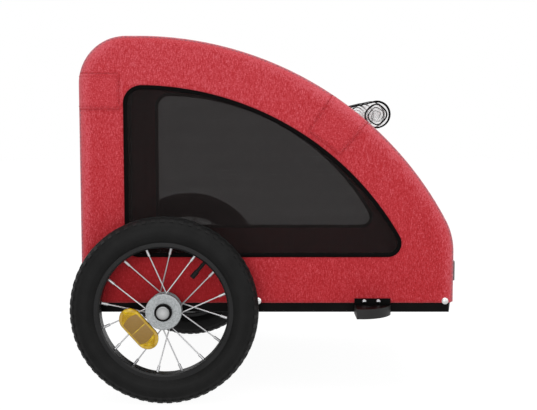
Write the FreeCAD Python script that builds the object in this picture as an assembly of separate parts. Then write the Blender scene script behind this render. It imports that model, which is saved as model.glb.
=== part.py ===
import FreeCAD, Part
import math
import os

# Dog bike trailer: a bolted tube frame under a stretched cloth cover, on two
# spoked wheels with quick-release axles. Millimetres, X forward, Z up, Y = 0 in
# the middle plane, ground at Z = 0. The right-hand side is at -Y.

os.makedirs("parts", exist_ok=True)
Vector = FreeCAD.Vector
SIDES = {"right": -1, "left": 1}

# Overall sizes
overall_length = 629.2
body_width = 433.0
roof_height = 592.8
track_width = 500.0
wheel_diameter = 305.0
axle_to_rear = 138.9
overrun = 30.0
running_gap = 0.3

# Cover outline and cloth
hem_height = 158.5
rear_corner_radius = 76.0
roof_flat_length = 20.0
front_wall_top = 241.0
front_blend_radius = 110.0
edge_radius = 12.0
cloth_thickness = 2.0
seam_gap = 0.1
front_seam_share = 0.6388

# Side windows
window_rear_band = 71.5
window_top_band = 78.0
window_sill_height = 234.3
window_rear_corner = 30.0
window_corner = 23.0
binding_width = 6.5
binding_thickness = 3.4
net_thickness = 0.8

# Front net
front_net_width = 320.0
front_net_bottom_rise = 17.0
front_net_top_drop = 37.2
front_net_corner = 25.0

# Rear door
door_width = 300.0
door_bottom = 238.0
door_top_drop = 110.8
door_gap = 1.0
door_net_margin = 38.0
door_net_corner = 20.0
zip_tape_width = 16.0
zip_tape_thickness = 1.0
zip_bar_width = 9.0
zip_bar_length = 13.0
zip_bar_thickness = 3.2
zip_tab_width = 5.0
zip_tab_length = 22.0
zip_tab_thickness = 1.2
zip_tab_hole_radius = 1.3

# Reinforcing flaps over the crossbar ends
flap_thickness = 1.2
rear_flap_height = 58.0
front_flap_angle = 7.2
front_flap_depth = 69.0

# Base frame
rail_width = 25.0
rail_height = 25.0
rail_clearance = 142.5
rail_wall = 1.5
rail_corner = 2.0
cross_rail_inset = 20.0
plug_flange = 4.0
plug_slant = 3.5
plug_spigot = 7.0
plug_gap = 0.2
floor_thickness = 4.0
floor_gap = 1.0

# Hoops and crossbars
hoop_diameter = 19.0
hoop_wall = 1.5
hoop_inset = 15.0
socket_wall = 2.2
socket_height = 40.0
socket_floor = 3.0
sleeve_gap = 0.3
clamp_length = 28.0
clamp_spigot = 25.0
rear_bar_drop = 87.8
front_bar_share = 0.6015
screw_radius = 2.0
screw_head_radius = 4.0
screw_head_height = 2.6
screw_gap = 0.1
socket_screw_share = 0.6

# Cover screws on the hem
cover_screw_radius = 5.5
cover_screw_height = 161.5
cover_screw_dome = 2.6
cover_screw_inset = 13.0
cover_screw_middle = 150.8

# Tow bracket on the right rail
bracket_front_offset = 162.5
bracket_length = 58.9
bracket_reach = 49.0
bracket_bottom = 140.6
bracket_thickness = 16.0
bracket_plate = 3.5
bracket_plate_top = 166.0
bracket_nose_share = 0.16
bracket_tip_share = 0.2
bracket_bulge_shares = (0.74, 0.72)
bracket_pin_shares = (0.36, 0.56)
bracket_pin_radius = 4.5
bracket_bolt_radius = 4.4
bracket_bolt_height = 161.2
bracket_bolt_dome = 3.0
bracket_bolt_shares = (0.27, 0.662)

# Rolled rain cover at the front of the roof
roll_diameter = 44.0
roll_share = 0.6696
roll_length = 345.0
roll_sheet = 1.2
roll_pitch = 5.0
roll_half_turns = 7
roll_rest_gap = 0.15
roll_tail = 43.0
roll_binding_width = 4.0
roll_binding_extra = 0.5
strap_width = 18.0
strap_thickness = 1.5
strap_spacing = 170.0
strap_gap = 0.3
strap_turn = 205.0

# Reflectors on the body
reflector_thickness = 4.6
reflector_width = 62.0
reflector_height = 33.0
reflector_corner = 3.0
reflector_spacing = 344.0
front_reflector_bottom = 193.0
rear_reflector_bottom = 184.0

# Tyre, tube and rim
tyre_section_radius = 21.5
tyre_wall = 3.0
tread_height = 2.5
tread_count = 30
tread_block_length = 16.0
tread_block_width = 9.0
tread_row_step = 12.5
tread_root = 3.0
tread_bed = 1.0
bead_half_gap = 5.0
bead_clearance = 1.0
tube_gap = 0.4
rim_lip_height = 6.0
rim_floor_wall = 3.0
rim_half_width = 13.5
rim_shoulder = 2.6
rim_wall = 2.0
valve_radius = 3.0
valve_length = 33.0
valve_cap_radius = 4.2
valve_cap_length = 13.0
valve_hole_gap = 0.4
valve_angle = 40.0

# Hub, spokes and bearings. Outboard places are measured from the wheel's middle plane.
hub_outer_face = 14.0
hub_inner_face = -24.0
hub_disc_thickness = 4.0
hub_disc_radius = 29.3
hub_barrel_radius = 17.5
hub_bore_radius = 9.0
hub_edge = 1.0
flange_radius = 27.5
flange_thickness = 3.0
outer_flange = 1.0
inner_flange = -15.0
spoke_circle_radius = 23.5
spoke_radius = 1.1
spoke_hole_gap = 0.15
spoke_head_radius = 2.0
spoke_head_height = 1.2
spoke_inside_stand = 1.4
spoke_outside_stand = 3.2
spoke_count = 16
spoke_first_angle = 74.3
spoke_lacing_angle = 30.0
nipple_radius = 2.2
nipple_length = 11.0
nipple_seat = 0.9
bearing_radius = 14.0
bearing_width = 8.0
bearing_recess = 1.4
bearing_fit = 0.05
bearing_groove = 0.8
bearing_race_share = 0.3

# Quick-release axle and its button
axle_radius = 5.95
axle_fit = 0.05
axle_sleeve_fit = 0.12
axle_engagement = 60.0
axle_tip_chamfer = 1.5
axle_tube_radius = 8.0
axle_tube_wall = 1.0
axle_collar_radius = 8.0
axle_collar_width = 2.0
axle_head_radius = 14.1
axle_head_height = 6.0
axle_head_floor = 1.0
sleeve_flange_radius = 12.0
sleeve_notch_gap = 1.5
button_radius = 10.8
button_gap = 0.2
button_height = 4.0
button_travel = 4.0
button_stem_radius = 3.0
button_stem_length = 24.0
button_edge = 1.2

# Reflector on the spokes
wheel_reflector_length_share = 1.0583
wheel_reflector_width_share = 0.502
wheel_reflector_thickness = 7.0
wheel_reflector_edge = 2.0
wheel_reflector_hub_gap = 1.2
wheel_reflector_angle = 235.0
wheel_reflector_gap = 6.3
wheel_reflector_axis = 138.0

# Places worked out from the sizes above
half_length = overall_length / 2
half_width = body_width / 2
wheel_radius = wheel_diameter / 2
wheel_y = track_width / 2
axle_x = wheel_radius - half_length
axle_z = wheel_radius
rear_x = axle_x - axle_to_rear
front_x = half_length - reflector_thickness
seam_y = half_width - edge_radius
roof_arc_x = rear_x + rear_corner_radius + roof_flat_length
blend_x = front_x - front_blend_radius
arc_run = blend_x - roof_arc_x
arc_drop = roof_height - front_wall_top
roof_arc_radius = (arc_run**2 + arc_drop**2 - front_blend_radius**2) / (2 * (arc_drop - front_blend_radius))
roof_arc_z = roof_height - roof_arc_radius
blend_angle = math.degrees(math.atan2(arc_run, front_wall_top - roof_arc_z))
front_seam_angle = blend_angle * front_seam_share
front_bar_angle = blend_angle * front_bar_share
roll_angle = blend_angle * roll_share
front_seam_height = roof_arc_z + roof_arc_radius * math.cos(math.radians(front_seam_angle))
front_net_bottom = front_wall_top + front_net_bottom_rise
front_net_top = front_seam_height - front_net_top_drop
rear_bar_height = roof_height - rear_bar_drop
door_top = roof_height - door_top_drop
door_bead_radius = cloth_thickness / 2
door_hinge_height = door_top - seam_gap - door_bead_radius
cabin_middle_height = (hem_height + roof_height) / 2
rail_face = half_width - cloth_thickness - running_gap
rail_y = rail_face - rail_width / 2
rail_top = rail_clearance + rail_height
rail_rear = rear_x + cloth_thickness + running_gap + plug_flange
rail_front = front_x - cloth_thickness - running_gap - plug_flange
hoop_radius = hoop_diameter / 2
socket_radius = hoop_radius + sleeve_gap + socket_wall
hoop_rear_x = rear_x + hoop_inset
hoop_front_x = front_x - hoop_inset
hoop_foot = rail_top + socket_floor
tyre_centre_radius = wheel_radius - tread_height - tyre_section_radius
rim_floor_radius = tyre_centre_radius - tyre_section_radius - bead_clearance
rim_lip_radius = rim_floor_radius + rim_lip_height
rim_inner_radius = rim_floor_radius - rim_floor_wall
spoke_room = rim_inner_radius - hub_disc_radius
wheel_reflector_length = spoke_room * wheel_reflector_length_share
wheel_reflector_width = spoke_room * wheel_reflector_width_share
wheel_reflector_radius = hub_disc_radius + wheel_reflector_hub_gap + wheel_reflector_width / 2
sleeve_face = wheel_y + hub_inner_face - axle_collar_width - 2 * running_gap


def export(name, shape):
    """Write one named piece."""
    shape.exportStep("parts/" + name + ".step")


def polar(centre_x, centre_z, radius, angle, y=0):
    """Point at an angle in degrees from straight up, turning towards +X."""
    turn = math.radians(angle)
    return Vector(centre_x + radius * math.sin(turn), y, centre_z + radius * math.cos(turn))


def on_roof(grow, angle, y=0):
    """Point on the roof arc, moved out by grow."""
    return polar(roof_arc_x, roof_arc_z, roof_arc_radius + grow, angle, y)


def line(start, end):
    """Straight edge."""
    return Part.LineSegment(start, end).toShape()


def arc(centre_x, centre_z, radius, first, last):
    """Arc in the side plane between two angles from straight up."""
    middle = (first + last) / 2
    points = [polar(centre_x, centre_z, radius, angle) for angle in (first, middle, last)]
    return Part.Arc(*points).toShape()


def box(x0, x1, y0, y1, z0, z1):
    """Box between two corners."""
    return Part.makeBox(x1 - x0, y1 - y0, z1 - z0, Vector(x0, y0, z0))


def bar_y(x, z, y0, y1, radius):
    """Round bar along Y between two places."""
    return Part.makeCylinder(radius, abs(y1 - y0), Vector(x, min(y0, y1), z), Vector(0, 1, 0))


def rod(start, end, radius):
    """Round bar between two points."""
    run = end - start
    return Part.makeCylinder(radius, run.Length, start, run)


def edges_along(shape, axis):
    """Straight edges of a shape that run along an axis."""
    return [edge for edge in shape.Edges if edge.Curve.TypeId == "Part::GeomLine"
            and abs(edge.Curve.Direction.dot(axis)) > 1 - Part.Precision.confusion()]


def rounded_box(x0, x1, y0, y1, z0, z1, axis, radius):
    """Box whose four edges along one axis are rounded."""
    block = box(x0, x1, y0, y1, z0, z1)
    return block.makeFillet(radius, edges_along(block, axis))


def solids(shapes):
    """Separate solids that share one piece."""
    return Part.makeCompound([solid for shape in shapes for solid in shape.Solids])


def side_outline(grow, foot):
    """Edges of the cover's side outline, from the rear foot over the roof to the front foot."""
    corner_x = rear_x + rear_corner_radius
    corner_z = roof_height - rear_corner_radius
    return [
        line(Vector(rear_x - grow, 0, foot), Vector(rear_x - grow, 0, corner_z)),
        arc(corner_x, corner_z, rear_corner_radius + grow, -90, 0),
        line(Vector(corner_x, 0, roof_height + grow), Vector(roof_arc_x, 0, roof_height + grow)),
        arc(roof_arc_x, roof_arc_z, roof_arc_radius + grow, 0, blend_angle),
        arc(blend_x, front_wall_top, front_blend_radius + grow, blend_angle, 90),
        line(Vector(front_x + grow, 0, front_wall_top), Vector(front_x + grow, 0, foot)),
    ]


def cover_block(grow, foot):
    """Solid inside the cover's outer face moved out by grow, with rounded side edges."""
    path = side_outline(grow, foot)
    path.append(line(Vector(front_x + grow, 0, foot), Vector(rear_x - grow, 0, foot)))
    reach = half_width + grow
    face = Part.Face(Part.Wire(path))
    face.translate(Vector(0, -reach, 0))
    block = face.extrude(Vector(0, 2 * reach, 0))
    rounded = []
    for edge in block.Edges:
        at_side = abs(abs(edge.CenterOfMass.y) - reach) < seam_gap
        at_foot = abs(edge.CenterOfMass.z - foot) < seam_gap
        if at_side and not at_foot:
            rounded.append(edge)
    return block.makeFillet(edge_radius + grow, rounded)


def layer(outer, inner, foot):
    """Sheet of the cover between two moved-out faces, open at the bottom."""
    return cover_block(outer, foot).cut(cover_block(inner, foot - overrun))


def ahead_of(angle):
    """Everything ahead of a plane through the roof arc's centre at an angle from straight up."""
    size = 2 * overall_length
    half = box(0, size, -size, size, -size, size)
    half.rotate(Vector(0, 0, 0), Vector(0, 1, 0), angle)
    half.translate(Vector(roof_arc_x, 0, roof_arc_z))
    return half


def window_block(inset, y0, y1):
    """Prism of the D-shaped side window, with its outline moved in by inset."""
    radius = roof_arc_radius - window_top_band - inset
    left = rear_x + window_rear_band + inset
    sill = window_sill_height + inset
    disc = bar_y(roof_arc_x, roof_arc_z, y0, y1, radius)
    block = disc.common(box(left, overall_length, y0, y1, sill, roof_height))
    corners = edges_along(block, Vector(0, 1, 0))
    high = [edge for edge in corners if edge.CenterOfMass.z > cabin_middle_height]
    block = block.makeFillet(window_rear_corner - inset, high)
    low = [edge for edge in edges_along(block, Vector(0, 1, 0))
           if abs(edge.CenterOfMass.z - sill) < seam_gap]
    return block.makeFillet(window_corner - inset, low)


def front_net_block(inset):
    """Prism of the front net's rounded opening, along X."""
    half = front_net_width / 2 - inset
    return rounded_box(0, overall_length, -half, half, front_net_bottom + inset, front_net_top - inset,
                       Vector(1, 0, 0), front_net_corner - inset)


def door_net_block(inset):
    """Prism of the rear door's rounded net opening, along X."""
    half = door_width / 2 - door_net_margin - inset
    return rounded_box(-overall_length, 0, -half, half, door_bottom + door_net_margin + inset,
                       door_top - door_net_margin - inset, Vector(1, 0, 0), door_net_corner - inset)


def side_span(side, inner, outer):
    """Lower and higher Y of a stretch given by its distances from the middle plane."""
    return sorted((side * inner, side * outer))


def cover_screw_places():
    """Where the hem's screws stand along a rail."""
    return [rear_x + cover_screw_inset, axle_x + cover_screw_middle, front_x - cover_screw_inset]


def bracket_x(share):
    """Place along the tow bracket."""
    return front_x - bracket_front_offset + bracket_length * share


def hem_holes(side):
    """Holes that the hem's screws, the tow bolts and the axle sleeve pass through."""
    inner = rail_face - rail_wall - overrun / 2
    outer = half_width + overrun
    hole = screw_radius + screw_gap
    holes = [bar_y(x, cover_screw_height, side * inner, side * outer, hole) for x in cover_screw_places()]
    if side == SIDES["right"]:
        for share in bracket_bolt_shares:
            holes.append(bar_y(bracket_x(share), bracket_bolt_height, side * inner, side * outer, hole))
    return holes


def make_cover():
    """Cloth panels, windows with their bindings and nets, flaps and the rear door."""
    shell = layer(0, -cloth_thickness, hem_height)
    proud = (binding_thickness - cloth_thickness) / 2
    net_out = (net_thickness - cloth_thickness) / 2
    binding_layer = layer(proud, -cloth_thickness - proud, hem_height)
    net_layer = layer(net_out, net_out - net_thickness, hem_height)
    flap_layer = layer(flap_thickness + seam_gap, seam_gap, hem_height)
    reach = half_width + overrun
    for name, side in SIDES.items():
        y0, y1 = side_span(side, seam_y, reach)
        flat = box(-overall_length, overall_length, y0, y1, 0, roof_height + overrun)
        panel = shell.common(flat).cut(window_block(-seam_gap, y0, y1))
        notch = bar_y(axle_x, axle_z, y0, y1, sleeve_flange_radius + sleeve_notch_gap)
        export(name + "_side_panel", panel.cut([notch] + hem_holes(side)))
        ring = window_block(0, y0, y1).cut(window_block(binding_width, y0, y1))
        export(name + "_window_binding", binding_layer.common(flat).common(ring))
        export(name + "_window_net",
               net_layer.common(flat).common(window_block(binding_width + seam_gap, y0, y1)))
        rear_flap = box(-overall_length, rear_x + window_rear_band - binding_width, y0, y1,
                        rear_bar_height - rear_flap_height / 2, rear_bar_height + rear_flap_height / 2)
        front_flap = ahead_of(front_bar_angle - front_flap_angle / 2)
        front_flap = front_flap.cut(ahead_of(front_bar_angle + front_flap_angle / 2)).common(flat)
        front_flap = front_flap.cut(bar_y(roof_arc_x, roof_arc_z, y0, y1, roof_arc_radius - front_flap_depth))
        export(name + "_frame_flaps", solids([flap_layer.common(rear_flap), flap_layer.common(front_flap)]))

    middle = shell.common(box(-overall_length, overall_length, -seam_y, seam_y, 0, roof_height + overrun))
    front_part = ahead_of(front_seam_angle)
    rear_part = box(-overall_length, roof_arc_x, -reach, reach, 0, roof_height - rear_corner_radius)
    export("roof_panel", middle.cut(front_part).cut(rear_part))
    export("front_panel", middle.common(front_part).cut(rear_part).cut(front_net_block(-seam_gap)))
    front_ring = front_net_block(0).cut(front_net_block(binding_width))
    export("front_net_binding", binding_layer.common(front_part).common(front_ring))
    export("front_net", net_layer.common(front_part).common(front_net_block(binding_width + seam_gap)))

    half_door = door_width / 2
    doorway = box(-overall_length, 0, -half_door - door_gap, half_door + door_gap,
                  door_bottom - door_gap, door_top)
    leaf = box(-overall_length, 0, -half_door, half_door, door_bottom, door_hinge_height)
    bead = bar_y(rear_x + door_bead_radius, door_hinge_height, -half_door, half_door, door_bead_radius)
    export("rear_panel", middle.common(rear_part).cut(doorway))
    leaf = middle.common(leaf).cut(door_net_block(-seam_gap))
    export("rear_door", leaf.fuse(bead).removeSplitter())
    door_ring = door_net_block(0).cut(door_net_block(binding_width))
    export("rear_door_binding", binding_layer.common(rear_part).common(door_ring))
    export("rear_door_net", net_layer.common(rear_part).common(door_net_block(binding_width + seam_gap)))
    make_zip()


def make_zip():
    """Zip tape round three sides of the rear door, inside, and a slider on each side."""
    tape_x = rear_x + cloth_thickness + seam_gap
    middle_y = door_width / 2 + door_gap / 2
    half_tape = zip_tape_width / 2
    low = door_bottom - door_gap / 2
    outer = box(tape_x, tape_x + zip_tape_thickness, -middle_y - half_tape, middle_y + half_tape,
                low - half_tape, door_top)
    inner = box(tape_x - overrun, tape_x + overrun, half_tape - middle_y, middle_y - half_tape,
                low + half_tape, door_top + overrun)
    export("zip_tape", outer.cut(inner))
    near = door_width / 2 + door_gap
    back = rear_x - running_gap
    for name, side in SIDES.items():
        y0, y1 = side_span(side, near, near + zip_bar_width)
        body = box(back - zip_bar_thickness, back, y0, y1, door_bottom, door_bottom + zip_bar_length)
        body = body.makeFillet(zip_bar_thickness / 2, edges_along(body, Vector(1, 0, 0)))
        tab_y = (y0 + y1) / 2
        tab_top = door_bottom + zip_bar_length / 2
        tab = box(back - zip_bar_thickness - zip_tab_thickness, back - zip_bar_thickness,
                  tab_y - zip_tab_width / 2, tab_y + zip_tab_width / 2, tab_top - zip_tab_length, tab_top)
        tab = tab.makeFillet(zip_tab_width / 2 - seam_gap, edges_along(tab, Vector(1, 0, 0)))
        eye = Part.makeCylinder(zip_tab_hole_radius, 2 * overrun,
                                Vector(back - overrun - zip_bar_thickness - zip_tab_thickness / 2, tab_y,
                                       tab_top - zip_tab_length + zip_tab_width / 2), Vector(1, 0, 0))
        export(name + "_zip_slider", body.fuse(tab.cut(eye)).removeSplitter())


def make_cover_screws():
    """Domed screws that hold the hem to the rails."""
    shapes = []
    for side in SIDES.values():
        face = half_width
        for x in cover_screw_places():
            screw = domed_screw(x, cover_screw_height, side, face, cover_screw_radius, cover_screw_dome)
            shapes.append(screw)
    export("cover_screws", solids(shapes))


def domed_screw(x, z, side, face, radius, dome):
    """Screw along Y with a domed head on a face and a shank through the rail's wall."""
    ball_radius = (radius**2 + dome**2) / (2 * dome)
    ball = Part.makeSphere(ball_radius, Vector(x, side * (face + dome - ball_radius), z))
    y0, y1 = side_span(side, face, face + overrun)
    head = ball.common(box(x - overrun, x + overrun, y0, y1, z - overrun, z + overrun))
    shank = bar_y(x, z, side * (rail_face - rail_wall), side * face, screw_radius)
    return head.fuse(shank)


def make_base():
    """Rails, cross rails, end plugs, floor and the cross tube that takes the axles."""
    inner_wall = rail_wall
    room = cover_block(-cloth_thickness - running_gap, rail_clearance - overrun)
    for name, side in SIDES.items():
        y0, y1 = side_span(side, rail_face - rail_width, rail_face)
        rail = rounded_box(rail_rear, rail_front, y0, y1, rail_clearance, rail_top, Vector(1, 0, 0),
                           rail_corner)
        bore = box(rail_rear - overrun, rail_front + overrun, y0 + inner_wall, y1 - inner_wall,
                   rail_clearance + inner_wall, rail_top - inner_wall)
        axle_hole = bar_y(axle_x, axle_z, y0 - overrun, y1 + overrun, axle_tube_radius + screw_gap)
        export(name + "_side_rail", rail.cut([bore, axle_hole] + hem_holes(side)).common(room))

    cross_y = rail_face - rail_width
    for name, x in (("rear", rear_x + cross_rail_inset), ("front", front_x - cross_rail_inset)):
        x0 = x - rail_width / 2
        x1 = x + rail_width / 2
        rail = rounded_box(x0, x1, -cross_y, cross_y, rail_clearance, rail_top, Vector(0, 1, 0), rail_corner)
        bore = box(x0 + inner_wall, x1 - inner_wall, -half_width, half_width,
                   rail_clearance + inner_wall, rail_top - inner_wall)
        export(name + "_cross_rail", rail.cut(bore))

    plugs = [end_plug(side, end).common(room) for side in SIDES.values() for end in (-1, 1)]
    export("rail_end_plugs", solids(plugs))
    floor_y = rail_y - socket_radius - floor_gap
    floor_x0 = rear_x + cross_rail_inset - rail_width / 2
    floor_x1 = front_x - cross_rail_inset + rail_width / 2
    export("floor_board", rounded_box(floor_x0, floor_x1, -floor_y, floor_y, rail_top,
                                      rail_top + floor_thickness, Vector(0, 0, 1), socket_radius))

    tube_bore = axle_tube_radius - axle_tube_wall
    tube = bar_y(axle_x, axle_z, -rail_face, rail_face, axle_tube_radius)
    export("axle_cross_tube", tube.cut(bar_y(axle_x, axle_z, -half_width, half_width, tube_bore)))
    sleeves = []
    for side in SIDES.values():
        inner = sleeve_face - axle_engagement - overrun / 2
        insert = bar_y(axle_x, axle_z, side * inner, side * rail_face, tube_bore - bearing_fit)
        flange = bar_y(axle_x, axle_z, side * rail_face, side * sleeve_face, sleeve_flange_radius)
        bore = bar_y(axle_x, axle_z, 0, side * overall_length, axle_radius + axle_sleeve_fit)
        sleeves.append(insert.fuse(flange).cut(bore).removeSplitter())
    export("axle_sleeves", solids(sleeves))


def end_plug(side, end):
    """Plug in a side rail's end; its outer face leans back towards the bottom."""
    y0, y1 = side_span(side, rail_face - rail_width, rail_face)
    rail_end = rail_front if end > 0 else rail_rear
    outer = rail_end + end * plug_flange
    corners = [Vector(rail_end, y0, rail_clearance), Vector(outer - end * plug_slant, y0, rail_clearance),
               Vector(outer, y0, rail_top), Vector(rail_end, y0, rail_top)]
    flange = Part.Face(Part.makePolygon(corners + corners[:1])).extrude(Vector(0, y1 - y0, 0))
    flange = flange.common(rounded_box(-overall_length, overall_length, y0, y1, rail_clearance, rail_top,
                                       Vector(1, 0, 0), rail_corner))
    gap = rail_wall + plug_gap
    x0, x1 = sorted((rail_end, rail_end - end * plug_spigot))
    spigot = box(x0, x1, y0 + gap, y1 - gap, rail_clearance + gap, rail_top - gap)
    return flange.fuse(spigot)


def swept_tube(path, radius):
    """Round rod swept along a path of lines and tangent arcs."""
    start = path.Vertexes[0].Point
    ring = Part.Wire(Part.makeCircle(radius, start, Vector(0, 0, 1)))
    return path.makePipeShell([ring], True, False)


def crossbars():
    """Names and middle points of the two crossbars between the hoops."""
    return {"rear": Vector(hoop_rear_x, 0, rear_bar_height), "front": on_roof(-hoop_inset, front_bar_angle)}


def socket_screws():
    """Screws, and their holes, from the cabin side into each hoop's foot."""
    screws = []
    holes = []
    z = rail_top + socket_height * socket_screw_share
    for side in SIDES.values():
        for x in (hoop_rear_x, hoop_front_x):
            face = rail_y - socket_radius
            head = bar_y(x, z, side * (face - screw_head_height), side * face, screw_head_radius)
            end = rail_y - hoop_radius + hoop_wall
            screws.append(head.fuse(bar_y(x, z, side * face, side * end, screw_radius)))
            holes.append(bar_y(x, z, side * face, side * end, screw_radius + screw_gap))
    return screws, holes


def bar_screws():
    """Screws, and their holes, from below into each end of the crossbars."""
    screws = []
    holes = []
    for middle in crossbars().values():
        for side in SIDES.values():
            y = side * (rail_y - socket_radius - clamp_spigot / 2)
            seat = Vector(middle.x, y, middle.z - hoop_radius)
            tip = Vector(middle.x, y, middle.z)
            head = rod(seat - Vector(0, 0, screw_head_height), seat, screw_head_radius)
            screws.append(head.fuse(rod(seat, tip, screw_radius)))
            holes.append(rod(seat - Vector(0, 0, screw_head_height), tip, screw_radius + screw_gap))
    return screws, holes


def make_frame():
    """Two bent hoops in sockets on the rails, joined by two crossbars on clamps."""
    foot_screws, foot_holes = socket_screws()
    end_screws, end_holes = bar_screws()
    export("frame_screws", solids(foot_screws + end_screws))
    path = Part.Wire(side_outline(-hoop_inset, hoop_foot))
    hoop = swept_tube(path, hoop_radius).cut(swept_tube(path, hoop_radius - hoop_wall))
    sockets = []
    for name, side in SIDES.items():
        bent = hoop.copy()
        bent.translate(Vector(0, side * rail_y, 0))
        export(name + "_hoop", bent.cut(foot_holes))
        for x in (hoop_rear_x, hoop_front_x):
            foot = Vector(x, side * rail_y, rail_top)
            cup = Part.makeCylinder(socket_radius, socket_height, foot)
            bore = Part.makeCylinder(hoop_radius + sleeve_gap, socket_height,
                                     foot + Vector(0, 0, socket_floor))
            sockets.append(cup.cut([bore] + foot_holes))
    export("hoop_sockets", solids(sockets))

    clamps = []
    bar_end = rail_y - socket_radius - seam_gap
    bore_radius = hoop_radius - hoop_wall
    for name, middle in crossbars().items():
        bar = bar_y(middle.x, middle.z, -bar_end, bar_end, hoop_radius)
        bore = bar_y(middle.x, middle.z, -half_width, half_width, bore_radius)
        export(name + "_top_crossbar", bar.cut([bore] + end_holes))
        lean = 0 if name == "rear" else front_bar_angle + 90
        for side in SIDES.values():
            clamps.append(crossbar_clamp(middle, lean, side, bore_radius - plug_gap).cut(end_holes))
    export("crossbar_clamps", solids(clamps))


def crossbar_clamp(middle, lean, side, spigot_radius):
    """Sleeve round a hoop with a spigot that the crossbar slips over."""
    axis = polar(0, 0, 1, lean)
    centre = middle + Vector(0, side * rail_y, 0)
    sleeve = Part.makeCylinder(socket_radius, clamp_length, centre - axis * (clamp_length / 2), axis)
    bore = Part.makeCylinder(hoop_radius + sleeve_gap, 2 * clamp_length, centre - axis * clamp_length, axis)
    spigot = bar_y(middle.x, middle.z, side * (rail_y - socket_radius - clamp_spigot), side * rail_y,
                   spigot_radius)
    return sleeve.fuse(spigot).cut(bore).removeSplitter()


def make_tow_bracket():
    """Quarter-round tongue with a vertical pin hole, and the plate that bolts over the hem."""
    side = SIDES["right"]
    bottom = bracket_bottom
    top = bottom + bracket_thickness
    tip = rail_face + bracket_reach

    def plan(share_x, out, z):
        return Vector(bracket_x(share_x), side * out, z)

    def out_at(share):
        return rail_face + bracket_reach * share

    bulge_x, bulge_out = bracket_bulge_shares
    tongue = Part.Wire([
        line(plan(0, rail_face, bottom), plan(0, tip, bottom)),
        line(plan(0, tip, bottom), plan(bracket_nose_share, tip, bottom)),
        Part.Arc(plan(bracket_nose_share, tip, bottom), plan(bulge_x, out_at(bulge_out), bottom),
                 plan(1, out_at(bracket_tip_share), bottom)).toShape(),
        line(plan(1, out_at(bracket_tip_share), bottom), plan(1, rail_face, bottom)),
        line(plan(1, rail_face, bottom), plan(0, rail_face, bottom)),
    ])
    body = Part.Face(tongue).extrude(Vector(0, 0, bracket_thickness))
    y0, y1 = side_span(side, half_width + seam_gap, half_width + seam_gap + bracket_plate)
    plate = box(bracket_x(0), bracket_x(1), y0, y1, bottom, bracket_plate_top)
    pin_x, pin_out = bracket_pin_shares
    pin = rod(plan(pin_x, out_at(pin_out), bottom - overrun), plan(pin_x, out_at(pin_out), top + overrun),
              bracket_pin_radius)
    export("tow_bracket", body.fuse(plate).cut([pin] + hem_holes(side)).removeSplitter())
    face = half_width + seam_gap + bracket_plate
    export("tow_bracket_bolts", solids([
        domed_screw(bracket_x(share), bracket_bolt_height, side, face, bracket_bolt_radius, bracket_bolt_dome)
        for share in bracket_bolt_shares]))


def roll_frame():
    """Roll's centre, the direction of the point where its tail leaves it, and the tail's far end."""
    radius = roll_diameter / 2
    centre = on_roof(radius + roll_rest_gap, roll_angle)
    tail_turn = math.degrees(roll_tail / roof_arc_radius)
    end = on_roof(roll_sheet + roll_rest_gap, roll_angle - tail_turn)
    run = end - centre
    turn = math.acos(radius / run.Length)
    towards = run.normalize()
    leave = Vector(towards.x * math.cos(turn) + towards.z * math.sin(turn), 0,
                   towards.z * math.cos(turn) - towards.x * math.sin(turn))
    return centre, leave, end


def spiral_face(outside, inside):
    """Face of a rolled sheet: a straight tail, then half turns of shrinking radius."""
    centre, leave, end = roll_frame()
    across = Vector(leave.z, 0, -leave.x)
    radius = roll_diameter / 2
    step = roll_pitch / 2

    def half_turns(shift):
        edges = [line(end + leave * shift, centre + leave * (radius + shift))]
        for turn in range(roll_half_turns):
            sign = 1 if turn % 2 == 0 else -1
            hub = centre if turn % 2 == 0 else centre - leave * step
            reach = radius - turn * step + shift
            edges.append(Part.Arc(hub + leave * (sign * reach), hub + across * (sign * reach),
                                  hub - leave * (sign * reach)).toShape())
        return edges

    outer = half_turns(outside)
    inner = half_turns(inside)
    start_cap = line(inner[0].Vertexes[0].Point, outer[0].Vertexes[0].Point)
    end_cap = line(outer[-1].Vertexes[-1].Point, inner[-1].Vertexes[-1].Point)
    return Part.Face(Part.Wire(Part.sortEdges(outer + inner + [start_cap, end_cap])[0]))


def make_rain_cover():
    """Clear cover rolled up on the roof's front edge, its bound edges and two straps."""
    half = roll_length / 2
    sheet = spiral_face(0, -roll_sheet)
    sheet.translate(Vector(0, -half, 0))
    export("rain_cover_roll", sheet.extrude(Vector(0, roll_length, 0)))
    edging = []
    for side in SIDES.values():
        strip = spiral_face(roll_binding_extra, -roll_sheet - roll_binding_extra)
        y0, y1 = side_span(side, half, half + roll_binding_width)
        strip.translate(Vector(0, y0, 0))
        edging.append(strip.extrude(Vector(0, y1 - y0, 0)))
    export("rain_cover_binding", solids(edging))
    export("roll_straps", solids([roll_strap(side * strap_spacing / 2) for side in SIDES.values()]))


def roll_strap(y):
    """Webbing strap from the roof over the tail and round the roll."""
    centre, leave, end = roll_frame()
    first = math.degrees(math.atan2(leave.x, leave.z))
    last = first + strap_turn
    near = roll_diameter / 2 + strap_gap
    far = near + strap_thickness
    shift = near - roll_diameter / 2
    inner_start = end + leave * shift
    outer_start = end + leave * (shift + strap_thickness)
    edges = [
        line(inner_start, centre + leave * near),
        arc(centre.x, centre.z, near, first, last),
        line(polar(centre.x, centre.z, near, last), polar(centre.x, centre.z, far, last)),
        arc(centre.x, centre.z, far, first, last),
        line(centre + leave * far, outer_start),
        line(outer_start, inner_start),
    ]
    face = Part.Face(Part.Wire(Part.sortEdges(edges)[0]))
    face.translate(Vector(0, y - strap_width / 2, 0))
    return face.extrude(Vector(0, strap_width, 0))


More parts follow.
